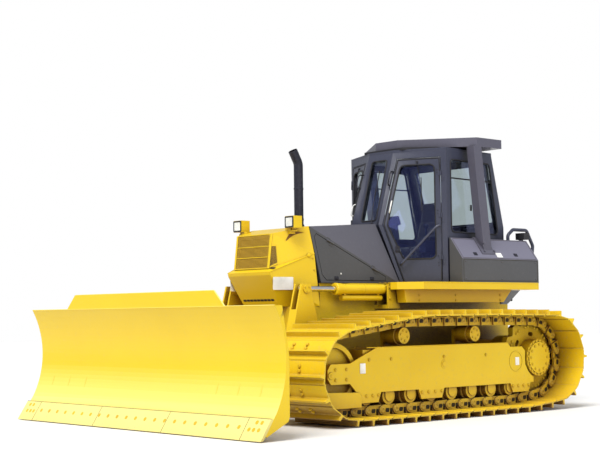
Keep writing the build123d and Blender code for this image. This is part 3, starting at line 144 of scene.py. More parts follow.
def bare_metal(name, colour, roughness, streak):
    """Turned or plated metal, with fine scratches round it."""
    finish, group, coords = new_finish(name)
    stretched = node(group, "ShaderNodeMapping", {"Vector": coords, "Scale": (260, 30, 30)}).outputs[0]
    lines = noise(group, stretched, 1, 2)
    tone = mixed(group, ranged(group, noise(group, coords, 9, 3), 0.3, 0.75), colour,
                 tuple(c * 0.82 for c in colour))
    skin = node(group, "ShaderNodeBump", {"Height": lines, "Strength": streak,
                                          "Distance": 0.0004}).outputs["Normal"]
    return surfaced(finish, {"Base Color": tone,
                             "Roughness": ranged(group, lines, 0.3, 0.7, roughness - 0.04, roughness + 0.08),
                             "Metallic": 1.0, "Normal": skin})


def moulded(name, colour, roughness, grain=160, depth=0.25):
    """Rubber or moulded plastic with a fine grain."""
    finish, group, coords = new_finish(name)
    fine = noise(group, coords, grain, 3)
    tone = mixed(group, ranged(group, noise(group, coords, 5, 3), 0.3, 0.8), colour,
                 tuple(c * 1.7 + 0.004 for c in colour))
    skin = node(group, "ShaderNodeBump", {"Height": fine, "Strength": depth,
                                          "Distance": 0.001}).outputs["Normal"]
    return surfaced(finish, {"Base Color": tone,
                             "Roughness": ranged(group, fine, 0.3, 0.7, roughness - 0.06, roughness + 0.06),
                             "Normal": skin})


def clear_glass(name, tint, roughness):
    """Tinted safety glass with a faint film of dust."""
    finish, group, coords = new_finish(name)
    film = noise(group, coords, 3.5, 5)
    tone = mixed(group, ranged(group, film, 0.4, 0.8, 0, 0.3), tint, tuple(c * 0.86 for c in tint))
    return surfaced(finish, {"Base Color": tone,
                             "Roughness": ranged(group, film, 0.4, 0.8, roughness, roughness + 0.03),
                             "IOR": 1.55, "Specular Tint": (0.30, 0.34, 1.0, 1), "Transmission Weight": 1.0})


def woven(name, colour, shade):
    """Seat cloth: two sets of threads, a little lint, and soft sheen."""
    finish, group, coords = new_finish(name)
    threads = []
    for direction in ("X", "Y"):
        wave = node(group, "ShaderNodeTexWave", {"Vector": coords, "Scale": 190.0, "Distortion": 0.6},
                    bands_direction=direction)
        threads.append(wave.outputs["Fac"])
    weave = maths(group, "MAXIMUM", *threads)
    lint = noise(group, coords, 60, 4)
    tone = mixed(group, weave, shade, colour)
    tone = mixed(group, ranged(group, lint, 0.45, 0.8, 0, 0.35), tone, tuple(c * 1.6 for c in colour))
    skin = node(group, "ShaderNodeBump", {"Height": weave, "Strength": 0.5,
                                          "Distance": 0.0009}).outputs["Normal"]
    return surfaced(finish, {"Base Color": tone, "Roughness": 0.88, "Normal": skin, "Sheen Weight": 0.35,
                             "Sheen Roughness": 0.5})


# The third colour of every painted() finish below is painted shade, which its hollows turn to.
YELLOW = (0.86, 0.60, 0.010)
YELLOW_SHADE = (0.81, 0.54, 0.008)
AMBER_PAINTED_SHADE = (0.26, 0.11, 0.004)
frame_paint = painted("chassis yellow", YELLOW, YELLOW_SHADE, AMBER_PAINTED_SHADE, 0.40, wear=0.12, dust=0.08, coat=0.1)
# Hull yellow turns near black over a long reach: painted shade on the hull sides behind the tracks.
hull_paint = painted("hull yellow", YELLOW, YELLOW_SHADE, (0.055, 0.018, 0.012), 0.42, wear=0.1, dust=0.08,
                     coat=0.1, shade_reach=1.1, open_at=0.48, shut_at=0.08)
panel_paint = painted("bodywork yellow", YELLOW, YELLOW_SHADE, (0.34, 0.20, 0.008), 0.34, wear=0.06, coat=0.2,
                      shade_reach=0.2)
# The blade's sky colour is painted light on its up-facing faces.
blade_paint = painted("blade yellow", (0.80, 0.56, 0.012), (0.77, 0.53, 0.010), (0.45, 0.26, 0.006), 0.38,
                      wear=0.08, coat=0.15, painted_sky_light=(0.90, 0.80, 0.24))
edge_paint = painted("cutting edge", (0.90, 0.80, 0.27), (0.86, 0.75, 0.25), (0.30, 0.18, 0.02), 0.45,
                     wear=0.4, dust=0.1)
track_paint = painted("track yellow", (0.86, 0.60, 0.012), (0.76, 0.49, 0.010), (0.17, 0.065, 0.004), 0.45,
                      wear=0.22, dust=0.12, shade_reach=0.35)
barrel_paint = painted("cylinder yellow", YELLOW, YELLOW_SHADE, AMBER_PAINTED_SHADE, 0.30, wear=0.06, coat=0.3, shade_reach=0.2)
grille_paint = painted("grille bronze", (0.60, 0.37, 0.04), (0.50, 0.29, 0.03), (0.20, 0.09, 0.01), 0.45,
                       shade_reach=0.03)
# Body grey's bluish sky colour is a painted sky reflection on its up-facing faces.
grey_paint = painted("body grey", (0.088, 0.090, 0.098), (0.078, 0.079, 0.086), (0.02, 0.02, 0.025), 0.36,
                     wear=0.08, worn=(0.25, 0.25, 0.28), coat=0.2, shade_reach=0.2, painted_sky_light=(0.17, 0.165, 0.225))
cab_paint = painted("cab slate", (0.046, 0.050, 0.082), (0.038, 0.042, 0.070), (0.008, 0.008, 0.015), 0.36,
                    wear=0.08, worn=(0.22, 0.22, 0.26), coat=0.2, shade_reach=0.15)
canopy_paint = painted("canopy grey", (0.105, 0.102, 0.140), (0.095, 0.092, 0.125), (0.014, 0.010, 0.012),
                       0.38, wear=0.08, worn=(0.25, 0.25, 0.28), coat=0.15, shade_reach=0.15)
black_paint = painted("chassis black", (0.016, 0.016, 0.030), (0.012, 0.012, 0.020), (0.004, 0.004, 0.005),
                      0.42, wear=0.2, worn=(0.12, 0.12, 0.13), shade_reach=0.1)
engine_paint = painted("engine grey", (0.13, 0.12, 0.10), (0.10, 0.09, 0.08), (0.02, 0.015, 0.01), 0.5,
                       wear=0.2, dust=0.2)
bolt_paint = painted("bolt head", (0.74, 0.50, 0.02), (0.60, 0.38, 0.02), (0.16, 0.08, 0.01), 0.45,
                     shade_reach=0.012, edge=0.001)
rod_chrome = bare_metal("hard chrome", (0.86, 0.83, 0.80), 0.12, 0.10)
bright_steel = bare_metal("bright steel", (0.62, 0.60, 0.57), 0.32, 0.3)
trim_plastic = moulded("cab trim", (0.016, 0.019, 0.062), 0.55)
lamp_plastic = moulded("lamp housing", (0.016, 0.016, 0.018), 0.5)
seal_rubber = moulded("seal rubber", (0.010, 0.010, 0.014), 0.72, 90)
knob_plastic = moulded("lever knob", (0.012, 0.012, 0.014), 0.35)
plate_white = moulded("plain plate", (0.72, 0.72, 0.70), 0.42, 60, 0.05)
cab_glass = clear_glass("cab glass", (0.86, 0.93, 0.97), 0.015)
# Open seam: the dark of panel joints, and painted shade where it fills the link openings.
seam_and_shade_paint = painted("open seam", (0.045, 0.028, 0.010), (0.035, 0.022, 0.008), (0.01, 0.01, 0.005), 0.7)
# A dark brown for the flat arch under each head lamp: painted shade of the recess there.
recess_painted_shade = painted("painted shade yellow", (0.22, 0.10, 0.012), (0.16, 0.07, 0.010), (0.03, 0.012, 0.004),
                       0.6, shade_reach=0.05)
lens_pale = moulded("pale lens", (0.62, 0.63, 0.60), 0.12, 300, 0.3)
lamp_silver = painted("lamp silver", (0.80, 0.80, 0.78), (0.72, 0.72, 0.70), (0.4, 0.4, 0.4), 0.25, coat=0.5)
red_lens = moulded("red lens", (0.45, 0.012, 0.010), 0.18, 90, 0.1)
screen_glass = moulded("screen", (0.010, 0.014, 0.018), 0.12, 60, 0.02)
seat_weave = woven("seat cloth", (0.060, 0.062, 0.075), (0.018, 0.018, 0.024))

CAD_FINISHES = {
    hull_paint: ("main_frame",),
    frame_paint: ("left_track_frame", "right_track_frame", "push_frame", "blade_yoke", "final_drives"),
    panel_paint: ("nose", "fenders", "head_lamps"),
    blade_paint: ("blade", "spill_guard"),
    edge_paint: ("cutting_edge",),
    track_paint: ("left_track", "right_track", "sprockets", "idlers", "bottom_rollers", "carrier_rollers"),
    barrel_paint: ("tilt_barrel", "left_lift_barrel", "right_lift_barrel", "left_angle_barrel",
                   "right_angle_barrel"),
    rod_chrome: ("tilt_rod", "left_lift_rod", "right_lift_rod", "left_angle_rod", "right_angle_rod"),
    grey_paint: ("hood", "left_hood_door", "right_hood_door", "side_boxes", "fuel_tank"),
    canopy_paint: ("rops_canopy",),
    cab_paint: ("cab_frame", "cab_roof", "left_door", "right_door", "left_door_rail", "right_door_rail",
                "lamp_guards"),
    cab_glass: ("cab_glass", "left_door_glass", "right_door_glass"),
    black_paint: ("exhaust_pipe", "drawbar", "left_angle_ball", "right_angle_ball"),
    grille_paint: ("grille",),
    lamp_plastic: ("rear_lamps",),
    engine_paint: ("engine_block", "radiator"),
    trim_plastic: ("consoles", "dashboard", "seat_base", "cab_floor"),
    seat_weave: ("seat_cushion", "seat_back"),
}
for finish, names in CAD_FINISHES.items():
    for name in names:
        nodes[name].data.materials.clear()
        nodes[name].data.materials.append(finish)


# ------------------------------------------------------------------ growing repeated pieces

def new_tree(name, sockets):
    group = bpy.data.node_groups.new(name, "GeometryNodeTree")
    for label, kind in sockets:
        group.interface.new_socket(label, in_out="INPUT", socket_type="NodeSocket" + kind)
    group.interface.new_socket("Geometry", in_out="OUTPUT", socket_type="NodeSocketGeometry")
    return group, node(group, "NodeGroupInput").outputs


def close_tree(group, shape, finish):
    real = node(group, "GeometryNodeRealizeInstances", {"Geometry": shape})
    done = node(group, "GeometryNodeSetMaterial", {"Geometry": real.outputs[0], "Material": finish})
    node(group, "NodeGroupOutput", {"Geometry": done.outputs[0]})
    return group


def bolt_tree():
    """A hexagonal head with a chamfered crown on a round washer, at every point, facing its "facing"."""
    group, given = new_tree("bolt heads", [("Geometry", "Geometry"), ("Across", "Float"), ("Height", "Float"),
                                           ("Washer", "Float"), ("Finish", "Material")])
    lift = node(group, "ShaderNodeCombineXYZ",
                {"Z": maths(group, "MULTIPLY", given["Height"], 0.5)}).outputs[0]
    crown_lift = node(group, "ShaderNodeCombineXYZ", {"Z": given["Height"]}).outputs[0]
    wide = maths(group, "MULTIPLY", given["Across"], 0.5)
    head = node(group, "GeometryNodeMeshCylinder", {"Vertices": 6, "Radius": wide, "Depth": given["Height"]})
    head = node(group, "GeometryNodeTransform", {"Geometry": head.outputs["Mesh"], "Translation": lift})
    crown = node(group, "GeometryNodeMeshCone",
                 {"Vertices": 12, "Radius Bottom": maths(group, "MULTIPLY", wide, 0.86),
                                                 "Radius Top": maths(group, "MULTIPLY", wide, 0.6),
                                                 "Depth": maths(group, "MULTIPLY", given["Height"], 0.14)})
    crown = node(group, "GeometryNodeTransform",
                 {"Geometry": crown.outputs["Mesh"], "Translation": crown_lift})
    washer = node(group, "GeometryNodeMeshCylinder",
                  {"Vertices": 16, "Radius": maths(group, "MULTIPLY", given["Washer"], 0.5),
                                                      "Depth": maths(group, "MULTIPLY", given["Height"],
                                                                     0.36)})
    joined = node(group, "GeometryNodeJoinGeometry")
    for part in (head, crown, washer):
        group.links.new(part.outputs[0], joined.inputs[0])
    facing = node(group, "GeometryNodeInputNamedAttribute", {"Name": "facing"},
                  data_type="FLOAT_VECTOR").outputs[0]
    turn = node(group, "FunctionNodeAlignRotationToVector", {"Vector": facing}, axis="Z").outputs[0]
    rows = node(group, "GeometryNodeInstanceOnPoints",
                {"Points": given["Geometry"], "Instance": joined.outputs[0],
                                                        "Rotation": turn})
    return close_tree(group, rows.outputs[0], given["Finish"])


def copies_tree():
    """A copy of one shape at every point, turned by the point's "turn"."""
    group, given = new_tree("copies along a row",
                            [("Geometry", "Geometry"), ("Shape", "Object"), ("Finish", "Material")])
    shape = node(group, "GeometryNodeObjectInfo", {"Object": given["Shape"]}).outputs["Geometry"]
    turn = node(group, "GeometryNodeInputNamedAttribute", {"Name": "turn"},
                data_type="FLOAT_VECTOR").outputs[0]
    turn = node(group, "FunctionNodeEulerToRotation", {0: turn}).outputs[0]
    rows = node(group, "GeometryNodeInstanceOnPoints",
                {"Points": given["Geometry"], "Instance": shape, "Rotation": turn})
    return close_tree(group, rows.outputs[0], given["Finish"])


def wire_tree():
    """A round tube along every run of edges, each corner cut by one chord of the bend."""
    group, given = new_tree("round tube", [("Geometry", "Geometry"), ("Radius", "Float"), ("Bend", "Float"),
                                           ("Around", "Int"), ("Finish", "Material")])
    run = node(group, "GeometryNodeMeshToCurve", {"Mesh": given["Geometry"]}).outputs[0]
    bent = node(group, "GeometryNodeFilletCurve",
                {"Curve": run, "Radius": given["Bend"], "Limit Radius": True}, mode="POLY")
    round_section = node(group, "GeometryNodeCurvePrimitiveCircle",
                         {"Resolution": given["Around"], "Radius": given["Radius"]})
    tube = node(group, "GeometryNodeCurveToMesh",
                {"Curve": bent.outputs[0], "Profile Curve": round_section.outputs[0],
                 "Fill Caps": True})
    return close_tree(group, tube.outputs[0], given["Finish"])


BOLTS, COPIES, WIRES = bolt_tree(), copies_tree(), wire_tree()


def placed(name, data):
    piece = bpy.data.objects.new(name, data)
    bpy.context.scene.collection.objects.link(piece)
    return piece


def bake(piece):
    """Turns what a piece's modifiers make into its own plain mesh."""
    mesh = bpy.data.meshes.new_from_object(piece.evaluated_get(bpy.context.evaluated_depsgraph_get()))
    piece.modifiers.clear()
    piece.data = mesh


def keep(piece, body, sharp=32):
    """A finished piece: shaded smooth up to an angle, riding on its body."""
    piece.data.shade_smooth()
    piece.data.set_sharp_from_angle(angle=radians(sharp))
    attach(piece, body)
    return piece


def grow(name, mesh, tree, given, body, sharp=32):
    """Runs a tree on a mesh, keeps its result as a plain mesh and drops the modifier."""
    piece = placed(name, mesh)
    step = piece.modifiers.new("grow", "NODES")
    step.node_group = tree
    for item in tree.interface.items_tree:
        if item.item_type == "SOCKET" and item.in_out == "INPUT" and item.name in given:
            step[item.identifier] = given[item.name]
    bake(piece)
    piece.data.name = name
    return keep(piece, body, sharp)


def points_mesh(name, places, attribute, values):
    mesh = bpy.data.meshes.new(name)
    mesh.from_pydata([tuple(p) for p in places], [], [])
    layer = mesh.attributes.new(attribute, "FLOAT_VECTOR", "POINT")
    layer.data.foreach_set("vector", [c for value in values for c in value])
    return mesh


def bolts(name, places, body, slot, finish=None, across=26, height=11, washer=36):
    """Bolt heads at (place, facing) pairs; sizes in millimetres."""
    mesh = points_mesh(name, [p for p, f in places], "facing", [f for p, f in places])
    given = {"Across": across / 1000 * 1.1547, "Height": height / 1000, "Washer": washer / 1000,
             "Finish": finish or bolt_paint}
    return grow(name, mesh, BOLTS, given, body, 25)


def copies(name, shape, places, finish, body, sharp=32):
    """Copies of a shape's mesh at (place, turn) pairs."""
    source = placed(name + " source", shape)
    mesh = points_mesh(name, [p for p, t in places], "turn", [t for p, t in places])
    piece = grow(name, mesh, COPIES, {"Shape": source, "Finish": finish}, body, sharp)
    bpy.data.objects.remove(source)
    return piece


def tubes(name, runs, radius, finish, body, bend=40, around=12, closed=False, s=1):
    """Round tubes along runs of places, mirrored across the machine where s is -1; sizes in millimetres."""
    points, edges = [], []
    for run in runs:
        first = len(points)
        points += [(p.x, s * p.y, p.z) for p in run]
        edges += [(first + i, first + i + 1) for i in range(len(run) - 1)]
        if closed:
            edges.append((len(points) - 1, first))
    mesh = bpy.data.meshes.new(name)
    mesh.from_pydata(points, edges, [])
    given = {"Radius": radius / 1000, "Bend": bend / 1000, "Around": around, "Finish": finish}
    return grow(name, mesh, WIRES, given, body, 60)


# ------------------------------------------------------------------ shaping single pieces

class Sheet:
    """A flat place on the machine with its own right, up and outward directions, in millimetres."""

    def __init__(self, origin, right, up):
        self.origin = origin
        self.right = Vector(right).normalized()
        self.up = (Vector(up) - self.right * Vector(up).dot(self.right)).normalized()
        self.out = self.right.cross(self.up)

    def at(self, a, b, out=0):
        return self.origin + (self.right * a + self.up * b + self.out * out) / 1000


def rounded(outline, radius, steps=5):
    """An outline of (a, b) points with its corners turned to a radius."""
    turned = []
    count = len(outline)
    for i, middle in enumerate(outline):
        middle = Vector(middle)
        back = (Vector(outline[i - 1]) - middle).normalized()
        ahead = (Vector(outline[(i + 1) % count]) - middle).normalized()
        half = back.angle(ahead) / 2
        reach = min(radius / tan(half), (Vector(outline[i - 1]) - middle).length / 2,
                    (Vector(outline[(i + 1) % count]) - middle).length / 2)
        centre = middle + (back + ahead).normalized() * (reach / cos(half))
        first, last = middle + back * reach - centre, middle + ahead * reach - centre
        sweep = first.angle_signed(last)
        for step in range(steps + 1):
            angle = -sweep * step / steps
            turned.append(centre + Vector((first.x * cos(angle) - first.y * sin(angle),
                                           first.x * sin(angle) + first.y * cos(angle))))
    return turned


def add_prism(shape, ring, depth):
    """A closed block from a ring of places, carried along a depth."""
    low = [shape.verts.new(p) for p in ring]
    high = [shape.verts.new(p + depth) for p in ring]
    shape.faces.new(low)
    shape.faces.new(high[::-1])
    for i in range(len(ring)):
        j = (i + 1) % len(ring)
        shape.faces.new((low[j], low[i], high[i], high[j]))


def add_plate(shape, sheet, outline, low, high):
    """A plate over a sheet, between two distances out from it."""
    add_prism(shape, [sheet.at(a, b, low) for a, b in outline], sheet.out * ((high - low) / 1000))


def add_turned(shape, start, axis, profile, around=28, hoop=False):
    """A turned piece: (distance along the axis, radius) pairs from end to end, in millimetres.

    A hoop's pairs go all the way round its section, so it's open in the middle."""
    turn = axis.to_track_quat("Z", "Y").to_matrix()
    rings = []
    for along, size in profile:
        centre = start + axis.normalized() * (along / 1000)
        rings.append([shape.verts.new(centre + turn @ Vector((size / 1000 * cos(2 * pi * i / around),
                                                               size / 1000 * sin(2 * pi * i / around), 0)))
                      for i in range(around)])
    if not hoop:
        shape.faces.new(rings[0][::-1])
        shape.faces.new(rings[-1])
    for low, high in zip(rings, rings[1:] + rings[:1] if hoop else rings[1:]):
        for i in range(around):
            j = (i + 1) % around
            shape.faces.new((low[i], low[j], high[j], high[i]))


def add_round(shape, start, end, radius, around=24):
    """A round bar between two places."""
    add_turned(shape, start, end - start, [(0, radius), ((end - start).length * 1000, radius)], around)


def add_ring(shape, sheet, outer, inner, low, high):
    """A flat frame between two outlines with as many points each."""
    count = len(outer)
    rows = [[shape.verts.new(sheet.at(a, b, out)) for a, b in outline]
            for outline, out in ((outer, low), (outer, high), (inner, high), (inner, low))]
    for first, second in zip(rows, rows[1:] + rows[:1]):
        for i in range(count):
            j = (i + 1) % count
            shape.faces.new((first[i], first[j], second[j], second[i]))


def new_mesh(name, shape, finish=None, bevel=0.0):
    """A shape's mesh with its faces outward and, where asked, its sharp edges bevelled."""
    bmesh.ops.remove_doubles(shape, verts=shape.verts, dist=1e-6)
    bmesh.ops.recalc_face_normals(shape, faces=shape.faces)
    if bevel:
        sharp = [e for e in shape.edges if len(e.link_faces) == 2 and e.calc_face_angle(0) > radians(28)]
        bmesh.ops.bevel(shape, geom=sharp, offset=bevel / 1000, segments=2, affect="EDGES",
                        clamp_overlap=True)
    mesh = bpy.data.meshes.new(name)
    shape.to_mesh(mesh)
    shape.free()
    if finish:
        mesh.materials.append(finish)
    return mesh


def make(name, shape, finish, body, bevel=0.0, sharp=32, s=1):
    """A finished piece from a shape, mirrored across the machine where s is -1."""
    if s < 0:
        bmesh.ops.scale(shape, vec=(1, -1, 1), verts=shape.verts)
    return keep(placed(name, new_mesh(name, shape, finish, bevel)), body, sharp)


def single(add, name, given, finish, body, bevel=0.0, s=1):
    """A piece that is one plate, ring, block or turning and nothing else."""
    shape = bmesh.new()
    add(shape, *given)
    return make(name, shape, finish, body, bevel, s=s)


def rect(a0, a1, b0, b1):
    return [(a0, b0), (a1, b0), (a1, b1), (a0, b1)]


# ------------------------------------------------------------------ tracks

PITCH = 190.0
SPROCKET, IDLER = (-1556.0, 548.0), (1430.0, 478.0)
CARRIERS_X, CARRIERS_Z = (476.0, -580.0), 820.0
WHEELS = ((-1110.0, 249.0, 135.0), (1010.0, 249.0, 135.0), (*IDLER, 358.0),
          *((x, CARRIERS_Z, 137.0) for x in CARRIERS_X), (*SPROCKET, 397.0))
SHOE_HALF = 430
FAR_OUT = 1400.0  # clear of the tracks: lines that look inwards for a seat start here
PLATE_LOW, PLATE_TOP, GROUSER_TIP = 50.0, 62.0, 114.0


def belt_line(first, second):
    """The straight run of the pin line between two wheels, with its outward angle."""
    (x1, z1, r1), (x2, z2, r2) = first, second
    normal = atan2(z2 - z1, x2 - x1) - acos((r1 - r2) / hypot(x2 - x1, z2 - z1))
    leave, meet = ((x + r * cos(normal), z + r * sin(normal)) for x, z, r in (first, second))
    return leave, meet, normal


def chain_pins():
    """The chain's pins as (x, z), evenly spaced round the pin line."""
    count = len(WHEELS)
    lines = [belt_line(WHEELS[i], WHEELS[(i + 1) % count]) for i in range(count)]
    runs = []
    for i, (leave, meet, normal) in enumerate(lines):
        x, z, r = WHEELS[(i + 1) % count]
        runs.append((hypot(meet[0] - leave[0], meet[1] - leave[1]), leave, meet, None))
        runs.append((r * ((lines[(i + 1) % count][2] - normal) % (2 * pi)), (x, z), r, normal))
    total = sum(run[0] for run in runs)
    pins = []
    for i in range(round(total / PITCH)):
        s = i * total / round(total / PITCH)
        for length, start, end, normal in runs:
            if s <= length:
                if normal is None:
                    share = s / length
                    pins.append((start[0] + (end[0] - start[0]) * share, start[1]
                                 + (end[1] - start[1]) * share))
                else:
                    pins.append((start[0] + end * cos(normal + s / end), start[1]
                                 + end * sin(normal + s / end)))
                break
            s -= length
    return pins


def across_track(shape, profile, y0, y1):
    """A block across one link: a profile of (along, outward) millimetres, from y0 to y1."""
    ring = [Vector((a / 1000, y0 / 1000, -out / 1000)) for a, out in profile]
    add_prism(shape, ring, Vector((0, (y1 - y0) / 1000, 0)))


def arc(x, z, radius, start, end, steps=8):
    return [(x + radius * cos(radians(start + (end - start) * i / steps)),
             z + radius * sin(radians(start + (end - start) * i / steps))) for i in range(steps + 1)]


def shoe_mesh():
    """One shoe: a plate with rolled edges and a single tapered grouser."""
    shape = bmesh.new()
    plate = [(-26, PLATE_LOW - 12), (-20, PLATE_LOW - 14), (4, PLATE_LOW), (PITCH + 10, PLATE_LOW),
             (PITCH + 10, PLATE_TOP - 3), (PITCH + 5, PLATE_TOP), (80, PLATE_TOP), (72, PLATE_TOP + 6),
             (66, GROUSER_TIP), (48, GROUSER_TIP), (42, PLATE_TOP + 6), (34, PLATE_TOP), (-4, PLATE_TOP),
             (-12, PLATE_TOP - 8), (-28, PLATE_LOW - 7)]
    across_track(shape, plate, -SHOE_HALF, SHOE_HALF)
    return new_mesh("shoe", shape, bevel=2.0)


def link_mesh():
    """The two links under one shoe: each steps outward at its middle and has a window for its bolts."""
    shape = bmesh.new()
    rear = arc(0, 0, 44, 90, 270) + [(6, -50), (104, -50), (104, 50), (86, 50), (80, 20), (68, 10), (54, 10),
                                     (42, 20), (36, 50), (20, 50), (12, 44)]
    front = [(92, -50), (PITCH - 6, -50)] + arc(PITCH, 0, 44, -90, 90) + [(PITCH - 12, 44), (PITCH - 20, 50),
                                                                          (92, 50)]
    for s in (1, -1):
        for profile, inner, outer in ((rear, 68, 98), (front, 86, 116)):
            across_track(shape, profile, *sorted((s * inner, s * outer)))
        y = s * 116 / 1000
        add_turned(shape, Vector((PITCH / 1000, y, 0)), Vector((0, s, 0)),
                   [(-4, 30), (3, 30), (5, 27), (5, 15), (1, 12)], 18)
    return new_mesh("links", shape, bevel=2.5)


def opening_shade_mesh():
    """Dark blocks through a pair of links: painted shade in the openings where a spanner reaches the shoe's
    nuts.
    """
    shape = bmesh.new()
    for s in (1, -1):
        across_track(shape, [(104, -16), (148, -16), (156, 4), (150, 24), (110, 24), (100, 4)],
                     *sorted((s * 60, s * 116.8)))
        across_track(shape, [(34, -12), (74, -12), (74, 22), (42, 22)], *sorted((s * 60, s * 98.8)))
    return new_mesh("link openings", shape)


def bush_mesh():
    shape = bmesh.new()
    add_round(shape, Vector((0, -0.07, 0)), Vector((0, 0.07, 0)), 33, around=16)
    return new_mesh("bush", shape)


def track_rows():
    pins = chain_pins()
    rows = []
    for i, (x, z) in enumerate(pins):
        x1, z1 = pins[(i + 1) % len(pins)]
        rows.append((x, z, atan2(-(z1 - z), x1 - x)))
    return rows


CHAIN = track_rows()
for side, s in SIDES:
    row = [(spot(x, s * TRACK_Y, z), (0, turn, 0)) for x, z, turn in CHAIN]
    shoes = copies(side + "_shoes", shoe_mesh(), row, track_paint, "machine")
    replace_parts(shoes, side + "_track")
    copies(side + "_links", link_mesh(), row, track_paint, "machine")
    # Painted shade in the links' openings.
    copies(side + "_link_openings", opening_shade_mesh(), row, seam_and_shade_paint, "machine")
    copies(side + "_bushes", bush_mesh(), row, bright_steel, "machine", 60)
    heads = []
    for x, z, turn in CHAIN:
        along, out = Vector((cos(turn), 0, -sin(turn))), Vector((-sin(turn), 0, -cos(turn)))
        for a in (108, 152):
            for y in (-92, 92):
                place = spot(x, s * TRACK_Y + y, z) + along * (a / 1000) + out * (PLATE_TOP / 1000)
                heads.append((place, out))
    bolts(side + "_shoe_bolts", heads, "machine", "track_steel", bolt_paint, 28, 15, 38)


# ------------------------------------------------------------------ seating pieces on the CAD surfaces

SURFACES = {}


def surface(name):
    if name not in SURFACES:
        mesh = nodes[name].data
        SURFACES[name] = BVHTree.FromPolygons([v.co for v in mesh.vertices],
                                              [p.vertices for p in mesh.polygons])
    return SURFACES[name]


def seat(name, place, towards):
    """Where a line from a place meets a CAD node, and the way that surface faces."""
    found, normal = surface(name).ray_cast(place, Vector(towards))[:2]
    if found is None:
        raise ValueError("nothing to seat on: " + name + " " + str(place))
    return found, normal


def square_seats(name, places, towards, least=0.9):
    """Seats at those places where the surface lies nearly square to the line; one over a gap has none."""
    seats = [surface(name).ray_cast(spot(*place), Vector(towards))[:2] for place in places]
    return [(found, normal) for found, normal in seats if found is not None and -normal.dot(towards) > least]


def sheet_facing(origin, normal):
    """A sheet at a place, level across, facing along a normal."""
    right = UP.cross(normal).normalized()
    return Sheet(origin, right, normal.cross(right))


def sheet_through(a, b, c, outward):
    first, second, third = spot(*a), spot(*b), spot(*c)
    normal = (second - first).cross(third - first).normalized()
    return sheet_facing(first, normal if normal.dot(Vector(outward)) > 0 else -normal)


def on_sheet(sheet, place):
    offset = (spot(*place) - sheet.origin) * 1000
    return offset.dot(sheet.right), offset.dot(sheet.up)


def seated_bolts(name, node_name, places, towards, body, slot, **size):
    """Bolts where lines from places, all one way, meet a CAD node."""
    return bolts(name, [seat(node_name, spot(*place), towards) for place in places], body, slot, **size)


def ring_of(x, z, radius, count, y, first=0.0):
    return [(x + radius * cos(2 * pi * i / count + first), y, z + radius * sin(2 * pi * i / count + first))
            for i in range(count)]


def latch(name, node_name, body, place, towards, s=1):
    """A paddle latch: a plate with a round turn-button and a rim."""
    found, normal = seat(node_name, spot(*place), towards)
    face = sheet_facing(found, normal)
    shape = bmesh.new()
    add_plate(shape, face, rounded(rect(-30, 30, -20, 20), 8), -1, 3)
    add_turned(shape, face.at(0, 0, 2), face.out, [(0, 15), (4, 15), (6, 13), (6, 3)], 20)
    add_plate(shape, face, rect(-11, 11, -2.5, 2.5), 7, 11)
    return make(name, shape, black_paint, body, 0.8, s=s)


# ------------------------------------------------------------------ undercarriage

def undercarriage_bolts(side, s):
    out = (0, -s, 0)
    far = s * FAR_OUT
    hub = ring_of(*SPROCKET, 138, 12, far) + ring_of(*SPROCKET, 181, 20, far, 0.1)
    seated_bolts(side + "_hub_bolts", "sprockets", hub, out, "machine", "track_steel", across=22, height=10,
                 washer=30)
    rows = [ring_of(*SPROCKET, 330, 13, far, 2 * pi * share / 13) for share in (-0.14, 0.14)]
    teeth = [place for pair in zip(*rows) for place in pair]
    bolts(side + "_tooth_bolts", square_seats("sprockets", teeth, out), "machine", "track_steel", across=26,
          height=12, washer=36)
    caps = [p for x in CARRIERS_X for p in ring_of(x, CARRIERS_Z, 50, 6, far, 0.3)]
    seated_bolts(side + "_carrier_bolts", "carrier_rollers", caps, out, "machine", "track_steel", across=16,
                 height=7, washer=22)
    frame_bolts = [(x, far, z) for x, z in ((1500, 467), (1440, 520), (1440, 425), (1300, 520), (1300, 425),
                                            (1000, 600), (700, 600), (-57, 600), (-700, 600))]
    for x0, x1 in ((840, 1160), (-60, 320), (-1430, -1090)):
        frame_bolts += [(x0 + (x1 - x0) * share, far, 262) for share in (0.12, 0.37, 0.63, 0.88)]
    bolts(side + "_frame_bolts", square_seats(side + "_track_frame", frame_bolts, out), "machine",
          "yellow_frame", across=24, height=11, washer=34)


def frame_fittings(side, s):
    """Covers on the outside of a track frame: a round access cover, a grease plug and blank plates."""
    outer = Sheet(spot(0, 1215, 0), (-1, 0, 0), UP)
    shape = bmesh.new()
    add_turned(shape, spot(-57, 1214, 527), Vector((0, 1, 0)),
               [(0, 44), (4, 44), (6, 42), (6, 30), (12, 28), (12, 4)], 28)
    add_ring(shape, outer, rounded(rect(1078, 1297, 412, 628), 104, 12),
             rounded(rect(1089, 1286, 423, 617), 94, 12), -1, 4)
    add_turned(shape, spot(1500, 1213, 467), Vector((0, 1, 0)), [(0, 34), (8, 34), (11, 30), (11, 3)], 24)
    make(side + "_frame_covers", shape, frame_paint, "machine", 0.8, s=s)
    plates = bmesh.new()
    for x, z, w, h in ((1088, 522, 70, 96), (-1206, 520, 60, 84)):
        add_plate(plates, outer, rounded(rect(-x - w / 2, -x + w / 2, z - h / 2, z + h / 2), 5), -0.5, 6)
    make(side + "_frame_plates", plates, plate_white, "machine", s=s)
    weld = [[spot(x, 1216, 716.5) for x in (-1060, 1030)]]
    tubes(side + "_frame_welds", weld, 5, frame_paint, "machine", 0, 8, s=s)


